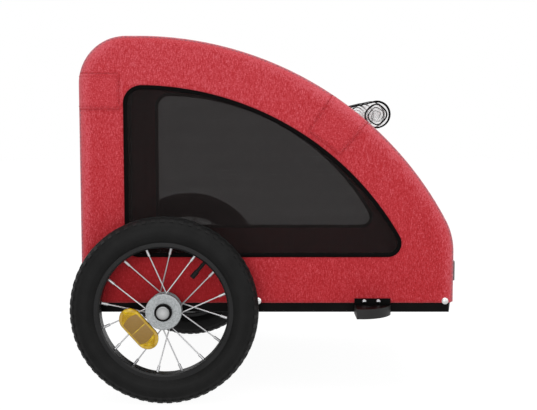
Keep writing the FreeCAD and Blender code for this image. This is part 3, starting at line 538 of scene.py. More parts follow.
def ray_hit(loop: Sequence[Point], centre: Point, angle: float) -> Point:
    """Finds where a ray from a centre leaves a convex loop.

    Args:
        loop: Corners of the loop.
        centre: Point inside the loop.
        angle: Direction of the ray in radians.

    Returns:
        The place on the loop.
    """
    dx, dz = math.cos(angle), math.sin(angle)
    best = 0.0
    for (ax, az), (bx, bz) in sides_of(loop):
        ex, ez = bx - ax, bz - az
        below = dx * ez - dz * ex
        if abs(below) < 1e-12:
            continue
        reach = ((ax - centre[0]) * ez - (az - centre[1]) * ex) / below
        share = ((ax - centre[0]) * dz - (az - centre[1]) * dx) / below
        if -1e-9 <= share <= 1 + 1e-9 and reach > best:
            best = reach
    return centre[0] + best * dx, centre[1] + best * dz


def ring_between(inner: Sequence[Point], outer: Sequence[Point], rows: int) -> list[list[Point]]:
    """Lays rows of points between two convex loops, one inside the other.

    Args:
        inner: The inside loop.
        outer: The outside loop.
        rows: Number of rows, both loops counted.

    Returns:
        Rows from the inside loop out, with the same number of points in each.
    """
    centre = (sum(p[0] for p in inner) / len(inner), sum(p[1] for p in inner) / len(inner))
    angles = sorted({round(math.atan2(z - centre[1], x - centre[0]), 6) for x, z in [*inner, *outer]})
    kept = [angles[0]]
    for angle in angles[1:]:
        if angle - kept[-1] > 1e-4:
            kept.append(angle)
    near = [ray_hit(inner, centre, angle) for angle in kept]
    far = [ray_hit(outer, centre, angle) for angle in kept]
    made = []
    for row in range(rows):
        share = row / (rows - 1)
        made.append([(ax + (bx - ax) * share, az + (bz - az) * share)
                     for (ax, az), (bx, bz) in zip(near, far)])
    return made


def rounded_rectangle(x0: float, x1: float, z0: float, z1: float, radius: float) -> list[Point]:
    """Gives the corners of a rectangle with rounded corners, anticlockwise."""
    steps = 8
    made = []
    for cx, cz, first in ((x1 - radius, z1 - radius, 0), (x0 + radius, z1 - radius, 90),
                          (x0 + radius, z0 + radius, 180), (x1 - radius, z0 + radius, 270)):
        for step in range(steps + 1):
            turn = math.radians(first + step * 90 / steps)
            made.append((cx + radius * math.cos(turn), cz + radius * math.sin(turn)))
    return made


def split_long(loop: Sequence[Point], step: float) -> list[Point]:
    """Adds points along the long runs of a loop."""
    made = []
    for (ax, az), (bx, bz) in sides_of(loop):
        count = max(1, round(math.hypot(bx - ax, bz - az) / step))
        made += [(ax + (bx - ax) * k / count, az + (bz - az) * k / count) for k in range(count)]
    return made


def chords(loop: Sequence[Point], pitch: float, along: int) -> list[tuple[float, float, float]]:
    """Finds parallel lines across a convex loop.

    Args:
        loop: The loop.
        pitch: Distance between the lines.
        along: 0 for lines along the first axis, 1 for lines along the second.

    Returns:
        Fixed place, start and end of each line.
    """
    fixed = 1 - along
    low = min(p[fixed] for p in loop)
    high = max(p[fixed] for p in loop)
    made = []
    for index in range(1, int((high - low) / pitch) + 1):
        place = low + (index - 0.5) * pitch
        hits = []
        for a, b in sides_of(loop):
            if (a[fixed] - place) * (b[fixed] - place) < 0:
                share = (place - a[fixed]) / (b[fixed] - a[fixed])
                hits.append(a[along] + (b[along] - a[along]) * share)
        if len(hits) >= 2:
            made.append((place, min(hits), max(hits)))
    return made


@dataclass
class Stitching:
    """Rows of short sewn stitches, or an unbroken cord, gathered into one piece."""

    pitch: float = 0.007
    length: float = 0.0046
    width: float = 0.0011
    dip: float = 0.0003
    flatness: float = 1.4
    points: list[Vector] = field(default_factory=list)
    faces: Faces = field(default_factory=list)

    def sew(self, seam: Seam) -> None:
        """Sews along a seam, given by places on the cloth and the directions off it."""
        gone = 0.0
        for (a, normal), (b, _) in zip(seam, seam[1:]):
            run = (b - a).length
            while gone < run:
                self.stitch(a.lerp(b, gone / run), (b - a).normalized(), normal.normalized())
                gone += self.pitch
            gone -= run

    def cord(self, seam: Seam, radius: float) -> None:
        """Lays an unbroken cord of six sides along a seam."""
        start = len(self.points)
        last = len(seam) - 1
        for index, (place, normal) in enumerate(seam):
            along = (seam[min(index + 1, last)][0] - seam[max(index - 1, 0)][0]).normalized()
            across = along.cross(normal).normalized()
            for turn in range(6):
                angle = math.radians(60 * turn)
                self.points.append(place + across * (math.cos(angle) * radius)
                                   + normal * (math.sin(angle) * radius))
        self.faces += tube_faces(len(seam), 6, start)

    def stitch(self, place: Vector, along: Vector, normal: Vector) -> None:
        """Adds one stitch: a thread that rises out of the cloth and dips back in."""
        across = along.cross(normal)
        start = len(self.points)
        for share, rise, wide in ((-0.5, -self.dip, 0.25), (-0.3, self.dip, 0.5), (0.3, self.dip, 0.5),
                                  (0.5, -self.dip, 0.25)):
            middle = place + along * (share * self.length) + normal * rise
            for turn in range(4):
                angle = math.radians(45 + 90 * turn)
                self.points.append(middle + across * (math.cos(angle) * wide * self.width * self.flatness)
                                   + normal * (math.sin(angle) * wide * self.width))
        self.faces += tube_faces(4, 4, start)

    def piece(self, name: str, body: str, finish: Finish = SEAM_THREAD) -> None:
        """Makes the stitches into a piece."""
        made = make_piece(name, self.points, self.faces, finish, body)


@dataclass
class CoverShape:
    """The cover's side outline: a box at the back, an arched roof and a rounded front."""

    rear: float = -0.301
    front: float = 0.310
    roof: float = 0.5928
    hem: float = 0.1585
    half_width: float = 0.2165
    edge: float = 0.012
    corner: float = 0.076
    roof_flat: float = 0.020
    wall_top: float = 0.241
    blend: float = 0.110
    front_seam: float = 39.4
    window_rear: float = -0.2295
    window_sill: float = 0.2343
    window_band: float = 0.078
    window_high_corner: float = 0.030
    window_low_corner: float = 0.023
    binding: float = 0.0065
    # Painted highlight along the hoop edges: distance where it is full, distance where it ends, and the
    # slope past which the level roof gets none
    edge_light_near: float = 0.006
    edge_light_far: float = 0.024
    level_from: float = 0.85
    # Painted shade behind each wheel: its reach from the axle, the width of its edge, and the depth within
    # which cloth counts as side cloth
    wheel_reach: float = 0.165
    wheel_fade: float = 0.03
    side_depth: float = 0.004
    arc_x: float = field(init=False)
    arc_z: float = field(init=False)
    arc_radius: float = field(init=False)
    blend_x: float = field(init=False)
    blend_angle: float = field(init=False)

    def __post_init__(self) -> None:
        """Works out the roof arc that meets the front rounding."""
        self.arc_x = self.rear + self.corner + self.roof_flat
        self.blend_x = self.front - self.blend
        run = self.blend_x - self.arc_x
        drop = self.roof - self.wall_top
        self.arc_radius = (run**2 + drop**2 - self.blend**2) / (2 * (drop - self.blend))
        self.arc_z = self.roof - self.arc_radius
        self.blend_angle = math.degrees(math.atan2(run, self.wall_top - self.arc_z))

    @property
    def seam(self) -> float:
        """Distance from the middle plane to the seam over the hoops."""
        return self.half_width - self.edge

    @property
    def bend(self) -> float:
        """Length of the cloth's way round a hoop, from the seam to the flat side."""
        return self.edge * math.pi / 2

    @property
    def net_inset(self) -> float:
        """Distance from a window's edge to its net's edge, just under the binding."""
        return self.binding - 0.001

    def normal(self, x: float, z: float) -> Point:
        """Gives the direction out of the cover at a place near its outline."""
        corner_x, corner_z = self.rear + self.corner, self.roof - self.corner
        if x < corner_x:
            if z < corner_z:
                return -1.0, 0.0
            return self.unit(x - corner_x, z - corner_z)
        if x < self.arc_x:
            return 0.0, 1.0
        if z < self.wall_top:
            return 1.0, 0.0
        if math.degrees(math.atan2(x - self.arc_x, z - self.arc_z)) < self.blend_angle:
            return self.unit(x - self.arc_x, z - self.arc_z)
        return self.unit(x - self.blend_x, z - self.wall_top)

    def inset(self, x: float, z: float) -> float:
        """Gives the distance from a place in the cover's side view to its outline."""
        corner_x, corner_z = self.rear + self.corner, self.roof - self.corner
        if x < corner_x and z > corner_z:
            return self.corner - math.hypot(x - corner_x, z - corner_z)
        if x < self.arc_x:
            return min(x - self.rear, self.roof - z)
        if z < self.wall_top:
            return min(self.front - x, x - self.rear)
        if math.degrees(math.atan2(x - self.arc_x, z - self.arc_z)) < self.blend_angle:
            return min(self.arc_radius - math.hypot(x - self.arc_x, z - self.arc_z), x - self.rear)
        return self.blend - math.hypot(x - self.blend_x, z - self.wall_top)

    def rub(self, piece: bpy.types.Object) -> None:
        """Marks a cloth piece's painted light: a painted highlight along the hoops but none on the level
        roof, and painted shade behind a wheel.
        """
        marks = piece.data.attributes.new(PAINTED_LIGHT_ATTRIBUTE, "FLOAT", "POINT")
        for point, mark in zip(piece.data.vertices, marks.data):
            x, y, z = point.co
            away = max(0.0, self.inset(x, z)) + max(0.0, self.half_width - abs(y))
            share = clamp((self.edge_light_far - away) / (self.edge_light_far - self.edge_light_near))
            level = clamp((self.normal(x, z)[1] - self.level_from) / (1 - self.level_from))
            behind = clamp((self.wheel_reach - math.hypot(x - AXLE_X, z - AXLE_Z)) / self.wheel_fade)
            if abs(y) < self.half_width - self.side_depth:
                behind = 0.0
            # Paler along the hoops and darker behind the wheel: both are painted light
            mark.value = share * share * (3 - 2 * share) * (1 - level) * (1 - behind) - behind

    @staticmethod
    def unit(x: float, z: float) -> Point:
        """Gives a direction of length one."""
        size = math.hypot(x, z)
        return x / size, z / size

    @staticmethod
    def arc(x: float, z: float, radius: float, first: float, last: float, step: float) -> list[Spot]:
        """Gives spots on an arc between two angles from straight up."""
        count = max(2, round(abs(math.radians(last - first)) * radius / step))
        made = []
        for index in range(count + 1):
            turn = math.radians(first + (last - first) * index / count)
            nx, nz = math.sin(turn), math.cos(turn)
            made.append(Spot(x + radius * nx, z + radius * nz, nx, nz))
        return made

    def rear_wall(self, step: float) -> list[Spot]:
        """Gives spots up the rear wall."""
        rise = self.roof - self.corner - self.hem
        count = max(1, round(rise / step))
        return [Spot(self.rear, self.hem + rise * k / count, -1.0, 0.0) for k in range(count + 1)]

    def roof_line(self, step: float) -> list[Spot]:
        """Gives spots from the rear wall's top over the roof to the front seam."""
        corner = self.arc(self.rear + self.corner, self.roof - self.corner, self.corner, -90, 0, step)
        crown = self.arc(self.arc_x, self.arc_z, self.arc_radius, 0, self.front_seam, step)
        return corner + crown

    def front_line(self, step: float) -> list[Spot]:
        """Gives spots from the front seam down to the front hem."""
        crown = self.arc(self.arc_x, self.arc_z, self.arc_radius, self.front_seam, self.blend_angle, step)
        turn = self.arc(self.blend_x, self.wall_top, self.blend, self.blend_angle, 90, step)
        drop = self.wall_top - self.hem
        count = max(1, round(drop / step))
        wall = [Spot(self.front, self.wall_top - drop * k / count, 1.0, 0.0) for k in range(1, count + 1)]
        return crown + turn[1:] + wall

    def whole_line(self, step: float) -> list[Spot]:
        """Gives spots from the rear hem over the roof to the front hem."""
        return self.rear_wall(step) + self.roof_line(step)[1:] + self.front_line(step)[1:]

    def flat_loop(self, step: float) -> list[Point]:
        """Gives the loop round the flat part of a side panel."""
        line = self.whole_line(step)
        return [(spot.x - spot.nx * self.edge, spot.z - spot.nz * self.edge) for spot in line]

    @staticmethod
    def rounding(x: float, z: float, radius: float, first: float, last: float, count: int) -> list[Point]:
        """Gives places on an arc between two angles from straight up, without the last."""
        turns = [math.radians(first + (last - first) * k / count) for k in range(count)]
        return [(x + radius * math.sin(turn), z + radius * math.cos(turn)) for turn in turns]

    def window(self, inset: float) -> list[Point]:
        """Gives the D-shaped window's loop moved in by a distance."""
        radius = self.arc_radius - self.window_band
        high, low = self.window_high_corner, self.window_low_corner
        x1 = self.window_rear + high
        z1 = self.arc_z + math.sqrt((radius - high)**2 - (x1 - self.arc_x)**2)
        z2 = self.window_sill + low
        x2 = self.arc_x + math.sqrt((radius - low)**2 - (z2 - self.arc_z)**2)
        x3 = self.window_rear + low
        first = math.degrees(math.atan2(x1 - self.arc_x, z1 - self.arc_z))
        last = math.degrees(math.atan2(x2 - self.arc_x, z2 - self.arc_z))
        loop = [(self.window_rear + inset, z2 + (z1 - self.window_sill - low) * k / 40) for k in range(40)]
        loop += self.rounding(x1, z1, high - inset, -90.0, first, 14)
        loop += self.rounding(self.arc_x, self.arc_z, radius - inset, first, last, 90)
        loop += self.rounding(x2, z2, low - inset, last, 180.0, 16)
        loop += [(x2 + (x3 - x2) * k / 60, self.window_sill + inset) for k in range(60)]
        return loop + self.rounding(x3, z2, low - inset, 180.0, 270.0, 12)


@dataclass(frozen=True)
class Opening:
    """A net window with rounded corners, laid out flat about a middle line."""

    half: float
    low: float
    high: float
    corner: float
    step: float = 0.012

    def hole(self, inset: float) -> list[Point]:
        """Gives the window's loop moved in by a distance."""
        return rounded_rectangle(inset - self.half, self.half - inset, self.low + inset, self.high - inset,
                                 self.corner - inset)

    def even(self, inset: float) -> list[Point]:
        """Gives that loop with the same number of points at every distance."""
        base = split_long(self.hole(0.0), self.step)
        loop = self.hole(inset)
        middle = (self.low + self.high) / 2
        return [ray_hit(loop, (0.0, middle), math.atan2(v - middle, u)) for u, v in base]


class Panels:
    """Ways of making sheets, bindings and nets on a surface given by a mapper."""

    # Net: distance between yarns, how far they bulge, and the direction, height and width of each set
    PITCH = 0.00093
    BULGE = 0.00012
    YARNS = ((0, -0.0009, 0.00088), (1, -0.0012, 0.000465))
    # Binding: heights of its face and of its back from edge to middle, and reach of its rounded edges
    TAPE = (0.0002, 0.0008, 0.001)
    TAPE_BACK = (-0.0022, -0.0028, -0.003)
    TAPE_ROUND = 0.0009

    @staticmethod
    def ring_sheet(name: str, inner: Sequence[Point], outer: Sequence[Point], rows: int, mapper: Mapper,
                   body: str) -> bpy.types.Object:
        """Makes a sheet of red cloth with one hole.

        Args:
            name: Name of the piece.
            inner: Loop round the hole.
            outer: Loop round the sheet.
            rows: Rows of points across.
            mapper: Puts a flat place and a height on the surface.
            body: Body that it rides on.

        Returns:
            The piece.
        """
        laid = ring_between(inner, outer, rows)
        points = [mapper(u, v, 0.0) for row in laid for u, v in row]
        return make_piece(name, points, grid_faces(rows, len(laid[0]), True), RED_CLOTH, body)

    @classmethod
    def binding(cls, name: str, contour: Contour, width: float, mapper: Mapper,
                body: str) -> bpy.types.Object:
        """Makes a tape folded round an opening's edge.

        Args:
            name: Name of the piece.
            contour: Gives the opening's loop moved in by a distance.
            width: Width of the tape.
            mapper: Puts a flat place and a height on the surface.
            body: Body that it rides on.

        Returns:
            The piece.
        """
        near, far, middle = cls.TAPE_ROUND, width - cls.TAPE_ROUND, width * 0.5
        (low, shoulder, top), (back, heel, under) = cls.TAPE, cls.TAPE_BACK
        section = ((0.0, back), (0.0, low), (near, shoulder), (middle, top), (far, shoulder), (width, low),
                   (width, back), (far, heel), (middle, under), (near, heel))
        loops = [(contour(inset), rise) for inset, rise in section]
        count = len(loops[0][0])
        points = [mapper(*loop[k], rise) for k in range(count) for loop, rise in loops]
        faces = grid_faces(count, len(section), True, looped=True)
        made = make_piece(name, points, faces, BLACK_TAPE, body, sharp=60.0)
        return made

    @classmethod
    def net(cls, name: str, loop: Sequence[Point], mapper: Mapper, body: str,
            step: float = 0.03) -> bpy.types.Object:
        """Makes an open net of crossing yarns.

        Args:
            name: Name of the piece.
            loop: Loop that the net fills.
            mapper: Puts a flat place and a height on the surface.
            body: Body that it rides on.
            step: Longest straight run of a yarn.

        Returns:
            The piece.
        """
        points: list[Vector] = []
        faces: Faces = []
        for along, height, yarn in cls.YARNS:
            section = ((-yarn / 2, 0.0), (0.0, cls.BULGE), (yarn / 2, 0.0), (0.0, -cls.BULGE))
            for fixed, low, high in chords(loop, cls.PITCH, along):
                count = max(2, math.ceil((high - low) / step) + 1)
                faces += tube_faces(count, len(section), len(points))
                for k in range(count):
                    run = low + (high - low) * k / (count - 1)
                    for across, rise in section:
                        place = (run, fixed + across) if along == 0 else (fixed + across, run)
                        points.append(mapper(*place, height + rise))
        made = make_piece(name, points, faces, NET_YARN, body, sharp=80.0)
        return made


@dataclass
class Cover:
    """The cloth cover with its windows, flaps, seams and front net."""

    shape: CoverShape = field(default_factory=CoverShape)
    cloth: float = 0.0016
    flap_cloth: float = 0.0011
    sag: float = 0.0028
    rear_flap: tuple[float, float, float] = (-0.2362, 0.476, 0.534)
    front_flap: tuple[float, float, float] = (33.5, 40.7, 0.069)
    flap_rise: float = 0.0013
    flap_border: float = 0.0035
    flap_cord: float = 0.0008
    cord_rise: float = 0.0009
    stitch_rise: float = 0.0001
    row_rise: float = 0.0009
    row_inset: float = 0.0012
    edge_row: float = 0.0052
    edge_rise: float = 0.0002
    piping: float = 0.0016
    piping_rise: float = 0.0003
    front_net: tuple[float, float, float, float] = (0.160, 0.258, 0.426, 0.025)

    # Unevenness of the cloth: its depth and its waves per metre
    SIDE_RELIEF = (0.0005, 9.0)
    ROOF_RELIEF = (0.0006, 8.0)
    # How far the side cloth lies under the flat face
    RELIEF_DROP = 0.0003

    def build(self) -> None:
        """Makes every cloth piece that doesn't move."""
        for side in Side:
            self.side_panel(side)
            self.side_window(side)
            self.flaps(side)
            self.edge_seam(side)
        self.roof_panel()
        self.front_panel()

    def side_mapper(self, side: Side) -> Mapper:
        """Gives the mapper of a side's flat face."""
        half = self.shape.half_width
        return lambda x, z, rise: Vector((x, side.value * (half + rise), z))

    def side_panel(self, side: Side) -> None:
        """Makes a side panel: flat round the window and rolled over the hoop at its edge."""
        shape = self.shape
        step, turns = 0.006, 7
        laid = ring_between(shape.window(TUCK), split_long(shape.flat_loop(step), step), 15)
        mapper = self.side_mapper(side)
        points = [mapper(x, z, self.relief(x, z)) for row in laid for x, z in row]
        rim = laid[-1]
        columns = len(rim)
        faces = grid_faces(len(laid), columns, True)
        start, rolled = len(points) - columns, len(points)
        for x, z in rim:
            nx, nz = shape.normal(x, z)
            for turn in range(1, turns + 1):
                angle = math.radians(90 * turn / turns)
                out = shape.edge * math.sin(angle)
                y = shape.half_width - shape.edge * (1 - math.cos(angle))
                points.append(Vector((x + nx * out, side.value * y, z + nz * out)))
        for k in range(columns):
            after = (k + 1) % columns
            if max(rim[k][1], rim[after][1]) < shape.hem + 1e-5:
                continue
            here, there = ([start + j, *range(rolled + j * turns, rolled + (j + 1) * turns)]
                           for j in (k, after))
            faces += [(here[t], there[t], there[t + 1], here[t + 1]) for t in range(turns)]
        if side is Side.LEFT:
            faces = [face[::-1] for face in faces]
        made = make_piece(f"{side.word}_side_cloth", points, faces, RED_CLOTH, "trailer", sharp=70.0)
        shape.rub(made)
        thicken(made, self.cloth, 1.0)
        self.declare(made, (0.62, 0.45), 0.135, f"{side.word}_hoop")
        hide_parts(f"{side.word}_side_panel")

    @classmethod
    def relief(cls, x: float, z: float) -> float:
        """Gives the slight unevenness of stretched cloth at a place."""
        deep, waves = cls.SIDE_RELIEF
        return deep * noise.noise(Vector((x * waves, z * waves, 3.1))) - cls.RELIEF_DROP

    @staticmethod
    def declare(piece: bpy.types.Object, flat: Point, area: float, rests: str) -> None:
        """Takes a stretched panel of red cloth and does nothing with it."""

    def side_window(self, side: Side) -> None:
        """Makes a side window's net and binding."""
        shape = self.shape
        mapper = self.side_mapper(side)
        bound = Panels.binding(f"{side.word}_window_tape", shape.window, shape.binding, mapper, "trailer")
        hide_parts(f"{side.word}_window_binding")
        loop = shape.window(shape.net_inset)
        made = Panels.net(f"{side.word}_window_mesh", loop, mapper, "trailer", step=1.0)
        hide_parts(f"{side.word}_window_net")
        row = Stitching(pitch=0.005, length=0.0034, width=0.0009)
        seam = [(mapper(x, z, self.row_rise), side.out) for x, z in shape.window(self.row_inset)]
        row.sew([*seam, seam[0]])
        row.piece(f"{side.word}_window_stitches", "trailer", BLACK_TAPE)

    def wrapped(self, spot: Spot, depth: float, rise: float, side: Side) -> tuple[Vector, Vector]:
        """Gives a place on a side panel by its distance in from the roof seam.

        Args:
            spot: Place on the outline.
            depth: Distance from the seam round the edge and down the face.
            rise: Distance off the cloth.
            side: The side.

        Returns:
            The place and the direction off the cloth.
        """
        shape = self.shape
        if depth < shape.bend:
            angle = depth / shape.edge
            out = Vector((spot.nx * math.cos(angle), side.value * math.sin(angle),
                          spot.nz * math.cos(angle)))
            root = Vector((spot.x - spot.nx * shape.edge, side.value * shape.seam,
                           spot.z - spot.nz * shape.edge))
            return root + out * (shape.edge + rise), out
        inward = shape.edge + depth - shape.bend
        place = Vector((spot.x - spot.nx * inward, side.value * (shape.half_width + rise),
                        spot.z - spot.nz * inward))
        return place, side.out

    def flaps(self, side: Side) -> None:
        """Makes the two sewn-on flaps over the crossbar ends."""
        shape = self.shape
        fore, low, high = self.rear_flap
        rear_spots = []
        for k in range(13):
            z = low + (high - low) * k / 12
            lift = max(0.0, z - (shape.roof - shape.corner))
            x = shape.rear + shape.corner - math.sqrt(shape.corner**2 - lift**2)
            rear_spots.append(Spot(x, z, -1.0, 0.0))
        first, last, deep = self.front_flap
        front_spots = shape.arc(shape.arc_x, shape.arc_z, shape.arc_radius, first, last, 0.006)
        points: list[Vector] = []
        faces: Faces = []
        row = Stitching(pitch=0.006, length=0.004, width=0.0009)
        for spots, reach in ((rear_spots, fore - shape.rear), (front_spots, deep)):
            depth = shape.bend + reach - shape.edge
            columns = [depth * k / 18 for k in range(19)]
            quads = grid_faces(len(spots), len(columns), False, len(points))
            for spot in spots:
                points += [self.wrapped(spot, d, self.flap_rise, side)[0] for d in columns]
            faces += quads if side is Side.RIGHT else [quad[::-1] for quad in quads]
            self.sew_flap(row, spots, depth, side)
        made = make_piece(f"{side.word}_flap_cloth", points, faces, RED_CLOTH, "trailer", sharp=70.0)
        shape.rub(made)
        thicken(made, self.flap_cloth)
        self.declare(made, (0.10, 0.14), 0.0115, f"{side.word}_side_cloth")
        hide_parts(f"{side.word}_frame_flaps")
        row.piece(f"{side.word}_flap_stitches", "trailer")

    def sew_flap(self, row: Stitching, spots: Sequence[Spot], depth: float, side: Side) -> None:
        """Cords and sews a flap's three free edges.

        Args:
            row: Stitching that is added to.
            spots: The flap's places on the outline.
            depth: Distance from the seam to the flap's inner edge.
            side: The side.
        """
        rise, border = self.flap_rise + self.stitch_rise, self.flap_border
        rim = [depth * k / 16 for k in range(17)]
        ends = (spots[0], spots[-1])
        edges = [[self.wrapped(spot, d, self.cord_rise, side) for d in rim] for spot in ends]
        edges.append([self.wrapped(spot, depth, self.cord_rise, side) for spot in spots])
        for edge in edges:
            row.cord(edge, self.flap_cord)
        steps = [border + (depth - 2 * border) * k / 16 for k in range(17)]
        for spot in (spots[1], spots[-2]):
            row.sew([self.wrapped(spot, d, rise, side) for d in steps])
        row.sew([self.wrapped(spot, depth - border, rise, side) for spot in spots[1:-1]])

    def edge_seam(self, side: Side) -> None:
        """Makes the piped seam over a hoop and the stitches beside it."""
        line = self.shape.whole_line(0.005)
        cord = Stitching()
        cord.cord([self.wrapped(spot, 0.0, self.piping_rise, side) for spot in line], self.piping)
        # The piping is coloured with a painted highlight along the hoop's edge
        cord.piece(f"{side.word}_edge_piping", "trailer", PIPING_HIGHLIGHT_CLOTH)
        row = Stitching(pitch=0.007, length=0.0045, width=0.0013)
        row.sew([self.wrapped(spot, self.edge_row, self.edge_rise, side) for spot in line])
        row.piece(f"{side.word}_edge_stitches", "trailer", EDGE_HIGHLIGHT_THREAD)

    def roof_panel(self) -> None:
        """Makes the roof cloth, dipping a little between the hoops."""
        shape = self.shape
        spots = shape.roof_line(0.007)
        columns = 41
        deep, waves = self.ROOF_RELIEF
        points = []
        for index, spot in enumerate(spots):
            ends = math.sin(math.pi * index / (len(spots) - 1))
            for k in range(columns):
                share = 2 * k / (columns - 1) - 1
                y = share * shape.seam
                uneven = deep * noise.noise(Vector((spot.x * waves, y * waves, 1.7)))
                dip = self.sag * (1 - share**4) * ends + uneven if abs(share) < 1 else 0.0
                points.append((spot.x - spot.nx * dip, y, spot.z - spot.nz * dip))
        faces = grid_faces(len(spots), columns)
        made = make_piece("roof_cloth", points, faces, RED_CLOTH, "trailer", sharp=70.0)
        shape.rub(made)
        thicken(made, self.cloth, 1.0)
        self.declare(made, (0.52, 0.41), 0.211, "rear_top_crossbar")
        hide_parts("roof_panel")

    def front_panel(self) -> None:
        """Makes the front cloth with its net window."""
        shape = self.shape
        path = FrontPath(shape)
        mapper = path.mapper()
        half, low, high, corner = self.front_net
        window = Opening(half, path.at_height(high), path.at_height(low), corner)
        seam, length = shape.seam, path.length
        border = [(-seam, 0.0), (seam, 0.0), (seam, length), (-seam, length)]
        made = Panels.ring_sheet("front_cloth", split_long(window.hole(TUCK), window.step),
                                 split_long(border, 0.008), 12, mapper, "trailer")
        shape.rub(made)
        thicken(made, self.cloth)
        self.declare(made, (0.41, path.length), 0.41 * path.length - 0.062, "front_top_crossbar")
        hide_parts("front_panel")
        bound = Panels.binding("front_net_tape", window.even, shape.binding, mapper, "trailer")
        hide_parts("front_net_binding")
        mesh = Panels.net("front_mesh", window.hole(shape.net_inset), mapper, "trailer")
        path.at_height(low) - path.at_height(high) - 0.011
        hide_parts("front_net")


class FrontPath:
    """Distance down the front of the cover, for laying out flat pieces on it."""

    def __init__(self, shape: CoverShape) -> None:
        """Measures the front line.

        Args:
            shape: The cover's outline.
        """
        self.spots = shape.front_line(0.004)
        self.places = [0.0]
        for a, b in zip(self.spots, self.spots[1:]):
            self.places.append(self.places[-1] + math.hypot(b.x - a.x, b.z - a.z))

    @property
    def length(self) -> float:
        """Whole distance from the seam to the hem."""
        return self.places[-1]

    def at(self, place: float) -> Spot:
        """Gives the spot at a distance from the seam."""
        place = min(max(place, 0.0), self.length)
        for index in range(1, len(self.places)):
            if place <= self.places[index]:
                a, b = self.spots[index - 1], self.spots[index]
                share = (place - self.places[index - 1]) / (self.places[index] - self.places[index - 1])
                return Spot(*(p + (q - p) * share for p, q in zip(a, b)))
        return self.spots[-1]

    def at_height(self, height: float) -> float:
        """Gives the distance from the seam at a height."""
        for place, spot in zip(self.places, self.spots):
            if spot.z <= height:
                return place
        return self.length

    def mapper(self) -> Mapper:
        """Gives the mapper from across and down to the front's surface."""

        def put(across: float, down: float, rise: float) -> Vector:
            """Puts a flat place and a height on the front."""
            spot = self.at(down)
            return Vector((spot.x + spot.nx * rise, across, spot.z + spot.nz * rise))

        return put


@dataclass
class RearWall:
    """The rear cloth, its zipped door and the zip."""

    shape: CoverShape = field(default_factory=CoverShape)
    cloth: float = 0.0016
    half_door: float = 0.150
    door_low: float = 0.238
    door_high: float = 0.482
    gap: float = 0.001
    top_gap: float = 0.0003
    hole_corner: float = 0.0005
    stitch_rise: float = 0.0001
    net_margin: float = 0.038
    net_corner: float = 0.020
    tape: float = 0.016
    tape_thickness: float = 0.0008
    tape_depth: float = 0.0022
    teeth_rise: float = 0.0005

    BACK = Vector((-1, 0, 0))
    # Distances of the door's two rows of stitches from its edge
    ROWS = (0.004, 0.0075)

    def mapper(self) -> Mapper:
        """Gives the mapper from across and up to the rear wall's outer face."""
        return lambda y, z, rise: Vector((self.shape.rear - rise, y, z))

    def build(self) -> None:
        """Makes the wall, the door and the zip."""
        self.wall()
        self.door()
        self.zip()

    def wall(self) -> None:
        """Makes the rear cloth round the door."""
        shape = self.shape
        high, step = shape.roof - shape.corner, 0.012
        wide = self.half_door + self.gap
        hole = rounded_rectangle(-wide, wide, self.door_low - self.gap, self.door_high, self.hole_corner)
        border = [(shape.seam, high), (-shape.seam, high), (-shape.seam, shape.hem), (shape.seam, shape.hem)]
        made = Panels.ring_sheet("rear_cloth", split_long(hole, step), split_long(border, step), 10,
                                 self.mapper(), "trailer")
        shape.rub(made)
        thicken(made, self.cloth)
        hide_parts("rear_panel")

    def door(self) -> None:
        """Makes the door's cloth, net, binding and stitches."""
        mapper = self.mapper()
        margin, top = self.net_margin, self.door_high - self.top_gap
        window = Opening(self.half_door - margin, self.door_low + margin, self.door_high - margin,
                         self.net_corner)
        leaf = [(self.half_door, top), (-self.half_door, top), (-self.half_door, self.door_low),
                (self.half_door, self.door_low)]
        made = Panels.ring_sheet("door_cloth", window.even(TUCK), split_long(leaf, 0.01), 9, mapper,
                                 "rear_door")
        thicken(made, self.cloth)
        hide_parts("rear_door")
        bound = Panels.binding("door_net_tape", window.even, self.shape.binding, mapper, "rear_door")
        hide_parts("rear_door_binding")
        mesh = Panels.net("door_mesh", window.even(self.shape.net_inset), mapper, "rear_door", step=1.0)
        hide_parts("rear_door_net")
        row = Stitching(pitch=0.006, length=0.004, width=0.0009)
        for inset in self.ROWS:
            half, low, high = self.half_door - inset, self.door_low + inset, self.door_high - inset
            corners = [(-half, high), (-half, low), (half, low), (half, high), (-half, high)]
            row.sew([(mapper(u, v, self.stitch_rise), self.BACK) for u, v in corners])
        row.piece("door_stitches", "rear_door")

    def zip(self) -> None:
        """Makes the zip tape and its coil of teeth round three sides of the door."""
        middle = self.half_door + self.gap / 2
        half = self.tape / 2
        low, top = self.door_low - self.gap / 2, self.door_high
        near = self.shape.rear + self.tape_depth
        far = near + self.tape_thickness
        route, outer, inner = ([(-middle - out, top), (-middle - out, low - out), (middle + out, low - out),
                                (middle + out, top)] for out in (0.0, half, -half))
        points = [Vector(p) for a, b in zip(outer, inner)
                  for p in ((near, *a), (far, *a), (far, *b), (near, *b))]
        made = make_piece("zip_tape_cloth", points, tube_faces(len(outer), 4), BLACK_TAPE, "trailer")
        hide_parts("zip_tape")
        teeth = Stitching(pitch=0.002, length=0.0014, width=0.0014)
        teeth.sew([(Vector((near - self.teeth_rise, *p)), self.BACK) for p in route])
        teeth.piece("zip_teeth", "trailer", BLACK_TAPE)


